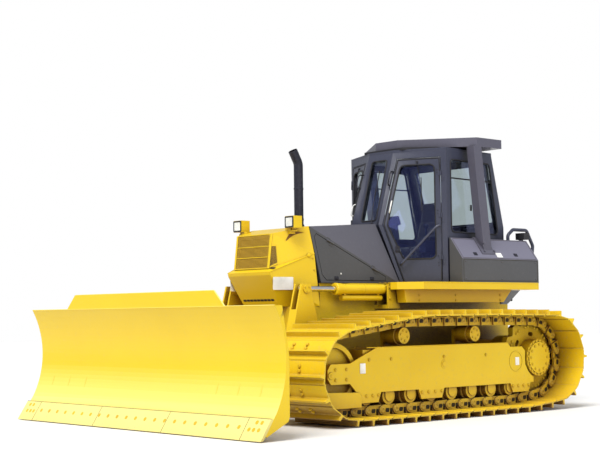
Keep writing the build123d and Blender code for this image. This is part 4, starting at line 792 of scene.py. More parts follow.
def front_guard(side, s):
    """The rock guard plate low on the outside, from the idler to the first roller, bent in along its top."""
    outer = Sheet(spot(0, 1217, 0), (1, 0, 0), UP)
    outline = [(1659, 319), (1147, 300), (1118, 262), (1118, 156), (1504, 156), (1640, 250)]
    shape = bmesh.new()
    add_plate(shape, outer, rounded(outline, 12), -14, 0)
    add_prism(shape, [spot(x, 1216, z) for x, z in ((1640, 316), (1150, 298), (1150, 286), (1640, 304))],
              Vector((0, -0.07, 0)))
    make(side + "_front_guard", shape, frame_paint, "machine", 3, s=s)
    rows = [(spot(x, s * 1217, z), Vector((0, s, 0)))
            for x, z in ((1560, 276), (1440, 272), (1240, 264), (1160, 200))]
    bolts(side + "_front_guard_bolts", rows, "machine", "yellow_frame", across=22, height=10, washer=32)


def idler_cover(side, s):
    shape = bmesh.new()
    face = seat("idlers", spot(IDLER[0], FAR_OUT, 555), (0, -1, 0))[0].y
    add_turned(shape, spot(IDLER[0], face * 1000, IDLER[1]), Vector((0, 1, 0)),
               [(-1, 40), (5, 40), (8, 36), (8, 4)], 28)
    make(side + "_idler_cap", shape, track_paint, "machine", 0.8, s=s)
    seated_bolts(side + "_idler_bolts", "idlers", ring_of(*IDLER, 72, 6, s * FAR_OUT, 0.4), (0, -s, 0),
                 "machine", "track_steel", across=18, height=8, washer=26)


for side, s in SIDES:
    undercarriage_bolts(side, s)
    frame_fittings(side, s)
    front_guard(side, s)
    idler_cover(side, s)


# ------------------------------------------------------------------ blade

EDGE_FACE = Sheet(spot(2960, 0, 8), (0, 1, 0), (-160, 0, 242))


def plough_head():
    """The round flat head of a plough bolt, with the ring where it sits in its countersink."""
    shape = bmesh.new()
    add_turned(shape, Vector(), EDGE_FACE.out,
               [(-2, 19), (0.9, 19), (1.1, 17.5), (0.1, 16), (0.1, 15), (1.6, 13.5),
                                                (2.0, 4)], 20)
    return new_mesh("plough head", shape)


def edge_bolts():
    rows = [(120, y) for y in range(-1575, 1576, 150)]
    for s in (1, -1):
        rows += [(105, s * y) for y in (1715, 1775, 1840)] + [(175, s * y) for y in (1775, 1840)]
    places = [(EDGE_FACE.at(y, up, 0), (0, 0, 0)) for up, y in rows]
    copies("plough_bolts", plough_head(), places, bolt_paint, "blade", 30)
    seams = bmesh.new()
    for y in (-1655, -550, 550, 1655):
        add_plate(seams, EDGE_FACE, rect(y - 2.5, y + 2.5, 4, 212), -2, 0.5)
    add_plate(seams, EDGE_FACE, rect(-1930, 1930, 213, 217), -3, 0.4)
    make("edge_seams", seams, seam_and_shade_paint, "blade")


def blade_body():
    """The blade with slim end plates, straight down their back edge."""
    shape = bmesh.new()
    shape.from_mesh(nodes["blade"].data)
    bmesh.ops.remove_doubles(shape, verts=shape.verts, dist=1e-6)
    for v in shape.verts:
        if abs(v.co.y) > 1.905:
            back_edge = spot(2638, 0, 0).x + max(0, v.co.z - 0.7) * 0.17
            v.co.x = max(v.co.x, back_edge)
    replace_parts(make("blade_body", shape, blade_paint, "blade", sharp=30), "blade")


blade_body()


def blade_ribs():
    """Upright ribs between the beams on the blade's back, clear of the cylinders."""
    shape = bmesh.new()
    for y in (-1650, -1350, -1050, 1050, 1350, 1650):
        ring = [spot(x, y - 8, z) for x, z in ((2700, 300), (2742, 300), (2676, 520), (2658, 640),
                                               (2664, 760), (2692, 940), (2676, 940), (2640, 760),
                                               (2636, 640), (2650, 500))]
        add_prism(shape, ring, Vector((0, 0.016, 0)))
    make("blade_ribs", shape, blade_paint, "blade")


def guard_trim():
    bead = [[spot(2782, y, z) for y, z in ((-1255, 1118), (-1113, 1255), (1113, 1255), (1255, 1118))]]
    tubes("guard_bead", bead, 7, blade_paint, "blade", 20)
    top = [[spot(2786, y, 1116) for y in (-1925, 1925)]]
    tubes("top_bead", top, 6, blade_paint, "blade", 0)


edge_bolts()
blade_ribs()
guard_trim()


# ------------------------------------------------------------------ nose, grille and lamps

NOSE = {"A": (1385, 267, 1845), "B": (1050, 440, 1920), "G": (1430, 265, 1492), "L": (1470, 330, 1464),
        "C": (1464, 330, 1430), "E": (1307, 262, 1120), "F": (906, 436, 1120), "D": (982, 445, 1650)}
GRILLE_FACE = Sheet(spot(1430, 0, 1492), (0, 1, 0), (-45, 0, 353))
LOW_FACE = Sheet(spot(1307, 0, 1120), (0, 1, 0), (157, 0, 310))


SLAT_PITCH, GRILLE_HALF = 11.6, 246


def grille():
    """Fine level slats over the whole front, two brighter dividers and a rim."""
    lean = Sheet(Vector(), GRILLE_FACE.right, GRILLE_FACE.up)
    slat = bmesh.new()
    ring = [lean.at(-GRILLE_HALF, up, out) for up, out in ((-4, 7), (-4.5, 4), (4.5, -1), (5, 1.5))]
    add_prism(slat, ring, lean.right * (2 * GRILLE_HALF / 1000))
    rows = [(GRILLE_FACE.at(0, 20 + i * SLAT_PITCH), (0, 0, 0)) for i in range(28)]
    slats = copies("grille_slats", new_mesh("slat", slat), rows, grille_paint, "machine")
    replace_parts(slats, "grille")
    trim = bmesh.new()
    for b in (120, 228):
        add_prism(trim, [GRILLE_FACE.at(-GRILLE_HALF, b + up, out)
                         for up, out in ((-6, 0), (6, 0), (4, 9), (-4, 9))],
                  GRILLE_FACE.right * (2 * GRILLE_HALF / 1000))
    add_ring(trim, GRILLE_FACE, rounded(rect(-262, 262, 4, 352), 8), rounded(rect(-247, 247, 14, 343), 5), -3,
             9)
    make("grille_frame", trim, panel_paint, "machine", 1.0)


SLOT_LONG, SLOT_PITCH = 48, 53.5


def front_slots():
    """The row of slots low on the front, and the finger slot in the ledge under the grille, as thin dark
    plates: painted shade in the openings.
    """
    ledge = sheet_through(NOSE["G"], NOSE["L"], (1430, -265, 1492), (0, 0, 1))
    dark = bmesh.new()
    for i in range(9):
        a = -238 + i * SLOT_PITCH
        add_plate(dark, LOW_FACE, rounded(rect(a, a + SLOT_LONG, 62, 86), 7), -1, 0.8)
    add_plate(dark, ledge, rounded(rect(-84, 84, 6, 26), 5), -1, 0.8)
    make("nose_slots", dark, black_paint, "machine")


def nose_side(side, s):
    upper = sheet_through(NOSE["A"], NOSE["D"], NOSE["B"], (0, 1, 0))
    middle = sheet_through(NOSE["A"], NOSE["G"], NOSE["D"], (0, 1, 0))
    lower = sheet_through(NOSE["C"], NOSE["F"], NOSE["D"], (0, 1, 0))
    window = [Vector(on_sheet(middle, p)) for p in ((1424, 267, 1508), (1399, 266, 1728), (1350, 285, 1728),
                                                    (1340, 290, 1545))]
    centre = sum(window, Vector((0, 0))) / 4
    # A thin dark plate behind the mesh wires is painted shade in the window's opening.
    single(add_plate, side + "_nose_window", (middle, window, -2, 0.6), black_paint, "machine",
           s=s)
    single(add_ring, side + "_nose_window_rim",
           (middle, [centre + (p - centre) * 1.06 for p in window],
            [centre + (p - centre) * 0.9 for p in window], -2, 4), panel_paint, "machine",
           0.8, s=s)
    wires = []
    for i in range(1, 26):
        low, high = window[0].lerp(window[1], i / 26), window[3].lerp(window[2], i / 26)
        wires.append([middle.at(*low, 1.8), middle.at(*high, 1.8)])
    for i in range(1, 6):
        low, high = window[0].lerp(window[3], i / 6), window[1].lerp(window[2], i / 6)
        wires.append([middle.at(*low, 1.8), middle.at(*high, 1.8)])
    tubes(side + "_nose_mesh", wires, 1.4, grille_paint, "machine", 0, 6, s=s)
    # The arch plate, barely proud of the upper face, is painted shade where the nose dips under the lamp.
    brow = bmesh.new()
    span = [Vector(on_sheet(upper, p)) for p in ((1268, 319, 1748), (1082, 418, 1852))]
    across = Vector((span[1] - span[0]).yx) * Vector((-1, 1))
    arch = [span[0].lerp(span[1], i / 10) + across * (0.30 * sin(pi * i / 10)) for i in range(11)]
    inner = [span[0].lerp(span[1], i / 10) + across * (0.12 * sin(pi * i / 10)) for i in range(1, 10)]
    add_plate(brow, upper, arch + inner[::-1], -1, 0.7)
    make(side + "_lamp_recess", brow, recess_painted_shade, "machine", s=s)
    rim = [[upper.at(*p, 0.5) for p in arch]]
    tubes(side + "_lamp_brow", rim, 4, panel_paint, "machine", 0, 8, s=s)
    post = [[spot(1432, 265, 1496), spot(1387, 267, 1842)]]
    tubes(side + "_grille_post", post, 9, panel_paint, "machine", 0, 12, s=s)
    crease = [[spot(*NOSE["L"]), spot(*NOSE["D"])]]
    tubes(side + "_nose_crease", crease, 5, panel_paint, "machine", 0, 10, s=s)
    knob = spot(*NOSE["D"]).lerp(spot(*NOSE["L"]), 0.12)
    single(add_turned, side + "_nose_knob", (knob - Vector((0, 0.004, 0)), Vector((0.25, 1, 0)),
                                             [(0, 22), (6, 22), (9, 18), (16, 16), (20, 12), (21, 3)], 24),
           panel_paint, "machine", 0.8, s=s)
    sign = bmesh.new()
    left_edge, right_edge = on_sheet(lower, (1440, 330, 1420))[0], on_sheet(lower, (1212, 380, 1420))[0]
    low, high = on_sheet(lower, (1320, 350, 1285))[1], on_sheet(lower, (1320, 350, 1412))[1]
    add_plate(sign, lower, rounded(rect(left_edge + 6, right_edge, low, high), 10), -0.5, 1.4)
    make(side + "_nose_plate", sign, plate_white, "machine", s=s)
    rows = [(x, s * 800.0, z) for x, z in ((1150, 1175), (1000, 1170), (960, 1300), (980, 1480),
                                           (1000, 1600))]
    seated_bolts(side + "_nose_bolts", "nose", rows, (0, -s, 0), "machine", "yellow_panel", across=14,
                 height=6, washer=22)


def head_lamp(side, s):
    front = Sheet(spot(1275, 405, 1955), (0, 1, 0), UP)
    single(add_ring, side + "_lamp_rim", (front, rounded(rect(-62, 62, -57, 57), 12),
                                          rounded(rect(-49, 49, -44, 44), 9), -14, 8), lamp_plastic,
           "machine", 1.0, s=s)
    single(add_plate, side + "_lamp_bowl", (front, rounded(rect(-49, 49, -44, 44), 9), -1, 1), lamp_silver,
           "machine", s=s)
    flute = bmesh.new()
    add_round(flute, Vector((0, 0, -0.042)), Vector((0, 0, 0.042)), 3.4, around=8)
    rows = [(front.at(a, 0, 3.4) * Vector((1, s, 1)), (0, 0, 0)) for a in range(-45, 46, 6)]
    copies(side + "_lamp_lens", new_mesh("flute", flute), rows, lens_pale, "machine", 60)
    single(add_turned, side + "_lamp_foot", (spot(1215, 405, 1862), UP,
                                             [(0, 34), (12, 34), (18, 22), (40, 22)], 24), panel_paint,
           "machine", 0.8, s=s)


grille()
front_slots()
for side, s in SIDES:
    nose_side(side, s)
    head_lamp(side, s)


# ------------------------------------------------------------------ hood and exhaust

def hood_top():
    face = sheet_through((1042, 440, 1918), (-140, 190, 1998), (-140, -190, 1998), (0, 0, 1))
    x, y = on_sheet(face, (110, 0, 1981))
    lid = bmesh.new()
    add_plate(lid, face, rounded(rect(x - 145, x + 145, y - 200, y + 200), 26), -1, 6)
    add_turned(lid, face.at(x, y - 120, 5), face.out, [(0, 20), (3, 20), (5, 17), (5, 3)], 24)
    make("hood_lid", lid, grey_paint, "machine", 1.5)
    seams = [[face.at(*on_sheet(face, p), -0.5) for p in ((500, -320, 1950), (500, 320, 1950))]]
    tubes("hood_seam", seams, 2.5, seam_and_shade_paint, "machine", 0, 8)


EXHAUST_X = 785


def exhaust_trim():
    foot = seat("hood", spot(EXHAUST_X + 70, 0, 2300), (0, 0, -1))[0].z
    shape = bmesh.new()
    add_turned(shape, spot(EXHAUST_X, 0, foot * 1000 - 8), UP,
               [(0, 74), (14, 74), (18, 70), (18, 58), (46, 54), (46, 46)], 32)
    for z in (2010, 2330):
        add_turned(shape, spot(EXHAUST_X, 0, z), UP, [(0, 47), (0.5, 51), (22, 51), (22.5, 47)], 32)
    make("exhaust_collars", shape, black_paint, "machine", 1.0)
    heads = [(spot(EXHAUST_X + 64 * cos(a), 64 * sin(a), foot * 1000 + 9), UP)
             for a in (0.4, 1.97, 3.54, 5.11)]
    bolts("exhaust_bolts", heads, "machine", "black_steel", finish=black_paint, across=10, height=6,
          washer=16)


def hood_sides(side, s):
    door = side + "_hood_door"
    for i, (x, z) in enumerate(((670, 1402), (128, 1402))):
        latch(f"{side}_hood_latch_{i + 1}", "left_hood_door", door, (x, 900, z), (0, -1, 0), s)
    found, normal = seat("left_hood_door", spot(600, 900, 1450), (0, -1, 0))
    single(add_turned, side + "_hood_mark", (found, normal, [(-1, 9), (1.5, 9), (2, 7)], 16), plate_white,
           door, s=s)


hood_top()
exhaust_trim()
for side, s in SIDES:
    hood_sides(side, s)


# ------------------------------------------------------------------ cab

DOOR_FACE = Sheet(spot(-170, 210, 0), (-1, 1, 0), UP)
SIDE_FACE = Sheet(spot(-690, 730, 0), (-1065, -110, 0), UP)
FRONT_FACE = Sheet(spot(-214.8, 0, 1990), (0, 1, 0), (-225.2, 0, 795))
REAR_FACE = Sheet(spot(-1755, 0, 1990), (0, -1, 0), (215, 0, 795))
DOOR_WINDOW = [(96, 1990), (258, 2640), (612, 2640), (612, 1620), (262, 1620)]
SIDE_WINDOW = [(75, 1905), (960, 1905), (805, 2690), (75, 2690)]
FRONT_WINDOW = [(-115, 55), (115, 55), (115, 750), (-115, 750)]
REAR_WINDOW = [(-500, 60), (500, 60), (518, 730), (-518, 730)]


def lean(piece):
    """Brings the front of a door's upper half in to the windscreen's edge."""
    for v in piece.data.vertices:
        x, y, z = v.co.x * 1000 + ZERO_STATION, abs(v.co.y) * 1000, v.co.z * 1000
        height = min(1, max(0, (z - 1990) / 795))
        along = ((-170 - x) + (y - 210)) / sqrt(2)
        beside = min(1, max(0, (y - 154 - 11 * height) / (56 + 119 * height)))
        share = height * beside * (1 - min(1, max(0, (along - 184 * height) / (735 - 184 * height))))
        v.co.x -= 0.140 * share
        v.co.y -= 0.158 * share * (1 if v.co.y > 0 else -1)
    return piece


def raked_cab():
    """The cab's shell, doors and their glass with the doors raked back to the windscreen."""
    for name, body, slot in (("cab_frame", "machine", "cab_paint"), ("cab_roof", "machine", "cab_paint"),
                             ("left_door", "left_door", "cab_paint"),
                             ("right_door", "right_door", "cab_paint"),
                             ("left_door_glass", "left_door", "glass"),
                             ("right_door_glass", "right_door", "glass")):
        shape = bmesh.new()
        shape.from_mesh(nodes[name].data)
        bmesh.ops.remove_doubles(shape, verts=shape.verts, dist=1e-6)
        bmesh.ops.dissolve_limit(shape, angle_limit=radians(1), verts=shape.verts, edges=shape.edges)
        bmesh.ops.triangulate(shape, faces=shape.faces)
        longest = [e for e in shape.edges if e.calc_length() > 0.12]
        bmesh.ops.subdivide_edges(shape, edges=longest, cuts=3)
        bmesh.ops.triangulate(shape, faces=shape.faces)
        piece = make(name + "_raked", shape, nodes[name].data.materials[0], body, sharp=12)
        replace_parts(lean(piece), name)


def seal(name, sheet, outline, radius, body, s=1):
    run = [sheet.at(*p, 0.5) for p in rounded(outline, radius, 6)]
    return tubes(name, [run], 8.5, seal_rubber, body, 0, 10, closed=True, s=s)


def window_seals():
    seal("windscreen_seal", FRONT_FACE, FRONT_WINDOW, 30, "machine")
    seal("rear_seal", REAR_FACE, REAR_WINDOW, 50, "machine")
    for side, s in SIDES:
        lean(seal(side + "_door_seal", DOOR_FACE, DOOR_WINDOW, 60, side + "_door", s))
        seal(side + "_window_seal", SIDE_FACE, SIDE_WINDOW, 45, "machine", s)


def side_window_bars(side, s):
    """The sliding pane's frame in a side window."""
    shape = bmesh.new()
    add_plate(shape, SIDE_FACE, rect(78, 850, 2484, 2498), -26, -8)
    add_plate(shape, SIDE_FACE, rounded(rect(452, 470, 2150, 2215), 5), -20, -4)
    make(side + "_window_bars", shape, seal_rubber, "machine", 1.5, s=s)


def wiper(name, sheet, pivot, end, blade_from, blade_to, body, s=1):
    """A wiper: its spindle cap, arm and rubber blade."""
    cap = bmesh.new()
    add_turned(cap, sheet.at(*pivot, 0), sheet.out, [(0, 14), (10, 14), (14, 10), (14, 3)], 20)
    pieces = [make(name + "_cap", cap, black_paint, body, 0.8, s=s)]
    arm = [[sheet.at(*pivot, 11), sheet.at(*end, 6)]]
    pieces.append(tubes(name + "_arm", arm, 4, black_paint, body, 0, 8, s=s))
    rubber = [[sheet.at(*blade_from, -8), sheet.at(*blade_to, -8)]]
    pieces.append(tubes(name + "_blade", rubber, 5, seal_rubber, body, 0, 8, s=s))
    return pieces


def door_furniture(side, s):
    door = side + "_door"
    run = [[DOOR_FACE.at(150, 2245, -2), DOOR_FACE.at(150, 2245, 34), DOOR_FACE.at(120, 2120, 34),
            DOOR_FACE.at(120, 2120, -2)]]
    lean(tubes(side + "_door_grip", run, 8, lamp_silver, door, 14, 12, s=s))
    lock = bmesh.new()
    add_plate(lock, DOOR_FACE, rounded(rect(176, 226, 1690, 1760), 8), -1, 5)
    add_turned(lock, DOOR_FACE.at(201, 1742, 4), DOOR_FACE.out, [(0, 11), (3, 11), (4, 8), (4, 3)], 18)
    add_plate(lock, DOOR_FACE, rounded(rect(184, 218, 1698, 1722), 6), 4, 11)
    make(side + "_door_lock", lock, black_paint, door, 0.8, s=s)
    gasket = [[DOOR_FACE.at(a, b, -1) for a, b in rounded([(60, 1990), (233, 2702), (664, 2702), (664, 1376),
                                                           (270, 1376)], 20, 4)]]
    lean(tubes(side + "_door_edge", gasket, 7, seal_rubber, door, 0, 8, closed=True, s=s))
    bars = [(660, z) for z in (1560, 2120, 2560)]
    heads = []
    for a, b in bars:
        for da, db in ((-22, -16), (-22, 16)):
            place, normal = DOOR_FACE.at(a + da, b + db, 0), DOOR_FACE.out
            heads.append((Vector((place.x, s * place.y, place.z)), Vector((normal.x, s * normal.y, 0))))
    lean(bolts(side + "_hinge_screws", heads, door, "black_steel", finish=black_paint, across=9, height=4,
               washer=14))


def cab_loops():
    """Grab loops high on the front pillars."""
    for side, s in SIDES:
        run = [[DOOR_FACE.at(176, 2575, -2), DOOR_FACE.at(150, 2575, 62), DOOR_FACE.at(112, 2420, 62),
                DOOR_FACE.at(138, 2420, -2)]]
        lean(tubes(side + "_pillar_loop", run, 8, black_paint, "machine", 22, 12, s=s))


raked_cab()
window_seals()
wiper("windscreen_wiper", FRONT_FACE, (60, 24), (20, 420), (20, 200), (20, 640), "machine")
cab_loops()
for side, s in SIDES:
    side_window_bars(side, s)
    door_furniture(side, s)
    for piece in wiper(side + "_door_wiper", DOOR_FACE, (430, 2672), (470, 2330), (470, 2130), (470, 2500),
                       side + "_door", s):
        lean(piece)


def canopy_trim():
    """The dark band between the cab's roof and the canopy, and bolts at the feet of its posts."""
    band = bmesh.new()
    outline = ((-470, 290), (-740, 560), (-1480, 530), (-1480, -530), (-740, -560), (-470, -290))
    add_prism(band, [spot(x, y, 2812) for x, y in outline], UP * 0.026)
    make("canopy_spacer", band, seal_rubber, "machine", 2)
    heads = [seat("rops_canopy", spot(-1200 + dx, s * 1100, z), (0, -s, 0))
             for s in (1, -1) for dx in (-85, 75) for z in (1790, 1700)]
    bolts("post_foot_bolts", heads, "machine", "cab_paint", finish=canopy_paint, across=22, height=11,
          washer=32)


canopy_trim()


# ------------------------------------------------------------------ boxes, fenders and tank

def side_box_trim(side, s):
    for i, x in enumerate((-960, -1635)):
        latch(f"{side}_box_latch_{i + 1}", "side_boxes", "machine", (x, 1200, 1667), (0, -1, 0), s)
    found, normal = seat("side_boxes", spot(-1345, 1200, 1661), (0, -1, 0))
    slope = sheet_facing(found, normal)
    single(add_plate, side + "_box_plate", (slope, rounded(rect(-46, 46, -34, 26), 4), -0.5, 4), plate_white,
           "machine", s=s)
    seams = [[spot(x, 920.4, z) for x, z in ((-725, 1380), (-725, 1606), (-1965, 1606), (-1965, 1380),
                                             (-725, 1380))],
             [slope.at(*on_sheet(slope, p), 0.2) for p in ((-725, 915, 1622), (-725, 762, 1832),
                                                           (-1965, 762, 1832),
                                                          (-1965, 915, 1622), (-725, 915, 1622))]]
    tubes(side + "_box_seams", seams, 2.2, seam_and_shade_paint, "machine", 12, 8, s=s)
    low = [(x, s * 1200.0, z) for x in (-760, -1350, -1930) for z in (1400, 1585)]
    seated_bolts(side + "_box_bolts", "side_boxes", low, (0, -s, 0), "machine", "grey_panel",
                 finish=grey_paint, across=13, height=6, washer=20)


FENDER_CORNER_X = -90.0


def fender_trim(side, s):
    """Raised tread on the deck before the door, a rolled lip along the fender and bolts in its skirt."""
    lozenge = bmesh.new()
    ring = [Vector((x / 1000, y / 1000, 0)) for x, y in ((-15, 0), (0, -4), (15, 0), (0, 4))]
    add_prism(lozenge, ring, UP * 0.003)
    rows = []
    for i in range(24):
        for j in range(16):
            x, y = -690 + 34 * i, 380 + 34 * j
            clear_of_cab = y > 430 + max(0, -330 - x) + (30 if x < -330 else 0)
            inside = y < 915 and x < 85 - max(0, y - 735) * 0.9 and x > -690
            if clear_of_cab and inside and x < 60:
                turn = radians(45 if (i + j) % 2 else -45)
                rows.append((spot(x, s * y, 1359.4), (0, 0, turn * s)))
    copies(side + "_deck_tread", new_mesh("lozenge", lozenge), rows, frame_paint, "machine",
           10)
    lip = [[spot(x, y, 1356) for x, y in ((-1965, 927), (FENDER_CORNER_X, 927))]]
    tubes(side + "_fender_lip", lip, 6, panel_paint, "machine", 0, 10, s=s)
    skirt = [(x, s * 1200.0, z) for x in (-767, -1500, -200) for z in (1172, 1225)]
    bolts(side + "_skirt_bolts", square_seats("fenders", skirt, (0, -s, 0), 0.7), "machine", "yellow_panel",
          across=16, height=8, washer=24)


def rear_lamp(side, s):
    back = Sheet(spot(-2040, 700, 1892), (0, -1, 0), UP)
    single(add_ring, side + "_rear_lamp_rim",
           (back, rounded(rect(-56, 56, -34, 34), 10), rounded(rect(-48, 48, -27, 27), 7), -8, 6),
           lamp_plastic, "machine", 0.8, s=s)
    single(add_plate, side + "_rear_lamp_lens", (back, rounded(rect(-48, 48, -27, 27), 7), 0, 3), red_lens,
           "machine", 0.8, s=s)


def tank():
    """The tank, narrower below where it passes between the tracks."""
    shape = bmesh.new()
    outline = ((-600, 1785), (-585, 1800), (585, 1800), (600, 1785), (600, 1355), (330, 1130), (-330, 1130),
               (-600, 1355))
    add_prism(shape, [spot(-2160, y, z) for y, z in outline], Vector((0.169, 0, 0)))
    piece = make("tank_shell", shape, grey_paint, "machine", 14)
    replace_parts(piece, "fuel_tank")


def tank_trim():
    found = seat("fuel_tank", spot(-2075, -380, 2100), (0, 0, -1))[0]
    cap = bmesh.new()
    add_turned(cap, found, UP, [(-2, 74), (12, 74), (14, 58), (36, 58), (42, 50), (42, 8)], 32)
    for i in range(10):
        angle = 2 * pi * i / 10
        centre = found + Vector((0.058 * cos(angle), 0.058 * sin(angle), 0))
        add_round(cap, centre + UP * 0.015, centre + UP * 0.034, 5, around=10)
    make("tank_cap", cap, black_paint, "machine", 0.8)
    rows = [(-2300.0, y, z) for y in (-380, 380) for z in (1180, 1750)]
    seated_bolts("tank_bolts", "fuel_tank", rows, (1, 0, 0), "machine", "grey_panel", finish=grey_paint,
                 across=20, height=9, washer=30)
    seams = [[spot(-2161, y, z) for y, z in ((-560, 1340), (560, 1340), (560, 1765), (-560, 1765))]]
    tubes("tank_bead", seams, 5, grey_paint, "machine", 60, 10, closed=True)


tank()
tank_trim()
for side, s in SIDES:
    side_box_trim(side, s)
    fender_trim(side, s)
    rear_lamp(side, s)


# ------------------------------------------------------------------ hull, push frame and cylinders

def hull_bolts():
    pad = [(-2300.0, y, z) for y in (-290, -100, 100, 290) for z in (660, 1040)]
    seated_bolts("rear_pad_bolts", "main_frame", pad, (1, 0, 0), "machine", "yellow_frame", across=36,
                 height=18, washer=52)
    belly = [(x, y, 0.0) for x in (-1700, -1250, -800, -200, 300, 800) for y in (-330, 330)]
    bolts("belly_bolts", square_seats("main_frame", belly, (0, 0, 1)), "machine", "yellow_frame", across=30,
          height=14, washer=44)


def drawbar_pin():
    single(add_turned, "drawbar_pin", (spot(-2230, 0, 452), UP,
                                       [(0, 10), (6, 24), (150, 24), (152, 34), (164, 34), (168, 30)], 24),
           bright_steel, "machine", 0.8)
    grip = [[spot(-2230, -20, 618), spot(-2230, -20, 660), spot(-2230, 20, 660), spot(-2230, 20, 618)]]
    tubes("drawbar_pin_grip", grip, 6, bright_steel, "machine", 16, 10)


def tower_caps(side, s):
    rows = ring_of(1230, 1290, 28, 3, s * 1100.0, 0.5)
    seated_bolts(side + "_tower_bolts", "push_frame", rows, (0, -s, 0), "push_frame", "yellow_frame",
                 across=14, height=7, washer=20)
    seated_bolts(side + "_lug_bolts", "main_frame", [(98, s * 1100.0, 1312), (101, s * 1100.0, 1198)],
                 (0, -s, 0), "machine", "yellow_frame", across=20, height=9, washer=30)


COLLAR_REACH = 20


def gland(name, body, base, end, length, bore, rod, s=1):
    """The gland over the collar at a barrel's mouth, wiping the rod, and a band at the barrel's middle."""
    start, finish_at = spot(*base), spot(*end)
    along = (finish_at - start).normalized()
    shape = bmesh.new()
    mouth = start + along * ((length + COLLAR_REACH) / 1000)
    add_turned(shape, mouth, along, [(-34, bore + 6), (-33, bore + 10), (-4, bore + 10), (-1, bore + 7),
                                     (2, bore - 6), (2, rod + 2), (-2, rod + 2), (-2, bore - 6)], 32,
               hoop=True)
    add_turned(shape, start + along * (length * 0.46 / 1000), along,
               [(0, bore - 0.5), (0.5, bore + 2.5), (22, bore + 2.5), (22.5, bore - 0.5)], 32, hoop=True)
    make(name + "_gland", shape, barrel_paint, body, 0.6, s=s)


hull_bolts()
drawbar_pin()
for side, s in SIDES:
    tower_caps(side, s)
    gland(side + "_lift", side + "_lift_barrel", (60, 540, 1290), (1230, 540, 1290), 720, 52, 28, s)
    gland(side + "_angle", side + "_angle_barrel", (1620, 435, 690), (2580, 620, 690), 620, 45, 25, s)
gland("tilt", "tilt_barrel", (2565, -150, 760), (2565, -700, 900), 400, 38, 22)


# ------------------------------------------------------------------ inside the cab

def controls():
    """Rubber boots under the two levers, armrests, a monitor, pedals and the ceiling lining."""
    boots = bmesh.new()
    for s in (1, -1):
        foot = spot(-760, s * 352, 1828)
        add_turned(boots, foot, UP, [(0, 46), (10, 44), (14, 38), (20, 42), (26, 34), (32, 37), (38, 28),
                                     (44, 31), (56, 16)], 20)
        add_prism(boots, [spot(x, s * 352 - 55, 1832) for x in (-1160, -880)]
                  + [spot(x, s * 352 + 55, 1832) for x in (-880, -1160)],
                  UP * 0.045)
    make("lever_boots", boots, seal_rubber, "machine", 0)
    panel = bmesh.new()
    face = sheet_facing(spot(-562, 0, 2050), Vector((-0.94, 0, 0.34)))
    add_plate(panel, face, rounded(rect(-150, 150, -45, 55), 14), -30, 8)
    make("monitor", panel, trim_plastic, "machine", 2)
    single(add_plate, "monitor_screen", (face, rounded(rect(-60, 60, -28, 38), 6), 7, 9.5), screen_glass,
           "machine", 0.6)
    dials = bmesh.new()
    for a in (-110, 110):
        add_turned(dials, face.at(a, 5, 7), face.out, [(0, 27), (3, 27), (5, 24), (4, 22), (4, 2)], 24)
    make("monitor_dials", dials, knob_plastic, "machine")
    pedals = bmesh.new()
    for y in (-150, 0, 150):
        pad = sheet_facing(spot(-640, y, 1440), Vector((-0.75, 0, 0.66)))
        add_plate(pedals, pad, rounded(rect(-38, 38, -50, 50), 8), 0, 12)
        add_plate(pedals, pad, rect(-8, 8, -70, 20), -40, 0)
    make("pedals", pedals, knob_plastic, "machine", 1.5)
    lining = bmesh.new()
    ring = [spot(x, y, 2752) for x, y in ((-505, -150), (-505, 150), (-560, 300), (-740, 640), (-1480, 560),
                                          (-1480, -560), (-740, -640), (-560, -300))]
    add_prism(lining, ring, UP * 0.028)
    make("ceiling_lining", lining, trim_plastic, "machine", 4)


def padded(name, node_name, cap, channels, along):
    """A swollen seat pad over its CAD block, with sewn channels pulled in across it."""
    start = bmesh.new()
    start.from_mesh(nodes[node_name].data)
    bmesh.ops.remove_doubles(start, verts=start.verts, dist=1e-5)
    centre = sum((v.co for v in start.verts), Vector()) / len(start.verts)
    for v in start.verts:
        v.co = centre + (v.co - centre) * 0.93
    mesh = bpy.data.meshes.new(name)
    start.to_mesh(mesh)
    start.free()
    piece = placed(name, mesh)
    even = piece.modifiers.new("even", "REMESH")
    even.mode = "VOXEL"
    even.voxel_size = 0.011
    bake(piece)
    rest = [v.co.copy() for v in piece.data.vertices]
    cloth = piece.modifiers.new("swell", "CLOTH")
    cloth.settings.use_pressure = True
    cloth.settings.uniform_pressure_force = 4
    cloth.settings.mass = 0.3
    cloth.settings.effector_weights.gravity = 0
    cloth.point_cache.frame_start, cloth.point_cache.frame_end = 1, 20
    for step in range(1, 21):
        bpy.context.scene.frame_set(step)
    bake(piece)
    bpy.context.scene.frame_set(1)
    for v, was in zip(piece.data.vertices, rest):
        moved = v.co - was
        if moved.length > cap:
            v.co = was + moved * (cap / moved.length)
    for v in piece.data.vertices:
        for place in channels:
            off = abs((v.co - centre).dot(along) - place)
            if off < 0.03:
                v.co -= (v.co - centre).normalized() * 0.012 * (1 - off / 0.03) ** 2
    smooth = piece.modifiers.new("smooth", "SUBSURF")
    smooth.levels = smooth.render_levels = 1
    bake(piece)
    piece.data.materials.clear()
    piece.data.materials.append(seat_weave)
    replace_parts(piece, node_name)
    keep(piece, "machine", 80)


controls()
padded("seat_cushion_pad", "seat_cushion", 0.02, (-0.11, 0.11), Vector((0, 1, 0)))
padded("seat_back_pad", "seat_back", 0.02, (-0.15, 0.02, 0.17), Vector((-0.25, 0, 0.97)))


# ------------------------------------------------------------------ camera, floor and light

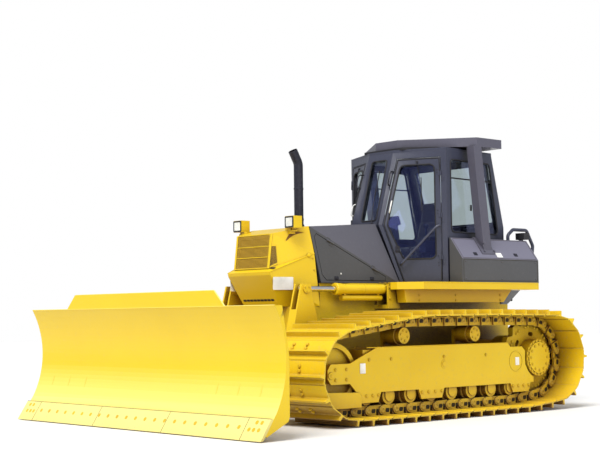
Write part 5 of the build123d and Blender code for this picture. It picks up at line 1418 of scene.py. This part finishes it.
def add_camera():
    camera = placed("camera", bpy.data.cameras.new("camera"))
    yaw, pitch, roll = radians(-131.861), radians(3.871), radians(-0.703)
    ahead = Vector((cos(pitch) * cos(yaw), cos(pitch) * sin(yaw), sin(pitch)))
    right = ahead.cross(UP).normalized()
    up = right.cross(ahead)
    right, up = right * cos(roll) + up * sin(roll), up * cos(roll) - right * sin(roll)
    turn = Matrix((right, up, -ahead)).transposed().to_4x4()
    camera.matrix_world = Matrix.Translation((9.68, 10.3, 1.03)) @ turn
    camera.data.lens = 80.21
    camera.data.sensor_width = 36.0
    camera.data.clip_end = 200
    bpy.context.scene.camera = camera


def add_floor():
    shape = bmesh.new()
    reach, cells = 40.0, 16
    bmesh.ops.create_grid(shape, x_segments=cells, y_segments=cells, size=reach)
    for vertex in shape.verts:
        edge = max(abs(vertex.co.x), abs(vertex.co.y)) / reach
        vertex.co.z = -0.0005 - 0.01 * max(0.0, edge - 0.5)
    mesh = bpy.data.meshes.new("floor")
    shape.to_mesh(mesh)
    shape.free()
    finish, group, coords = new_finish("studio floor")
    tone = mixed(group, ranged(group, noise(group, coords, 0.8, 4), 0.3, 0.7), (0.90, 0.90, 0.90),
                 (0.87, 0.87, 0.88))
    surfaced(finish, {"Base Color": tone, "Roughness": 0.7, "Specular IOR Level": 0.2})
    mesh.materials.append(finish)
    floor = placed("floor", mesh)


def add_light():
    world = bpy.data.worlds.new("studio")
    world.use_nodes = True
    group = world.node_tree
    group.nodes.clear()
    seen = node(group, "ShaderNodeLightPath").outputs["Is Camera Ray"]
    fill = node(group, "ShaderNodeBackground", {"Color": (0.93, 0.96, 1.0, 1), "Strength": 0.5})
    backdrop = node(group, "ShaderNodeBackground", {"Color": (1, 1, 1, 1), "Strength": 1.0})
    shown = node(group, "ShaderNodeMixShader", {0: seen, 1: fill.outputs[0], 2: backdrop.outputs[0]})
    node(group, "ShaderNodeOutputWorld", {"Surface": shown.outputs[0]})
    bpy.context.scene.world = world
    for name, source, strength, spread in (("key", (4.2, 1.8, 6.4), 3.0, 30),
                                           ("side", (2.5, 7.0, 3.0), 0.6, 40)):
        lamp = bpy.data.lights.new(name, "SUN")
        lamp.energy = strength
        lamp.angle = radians(spread)
        lamp.color = (1.0, 0.985, 0.95)
        sun = placed(name, lamp)
        sun.rotation_mode = "QUATERNION"
        sun.rotation_quaternion = Vector(source).to_track_quat("Z", "Y")
    bpy.context.scene.view_settings.view_transform = "Standard"


add_camera()
add_floor()
add_light()
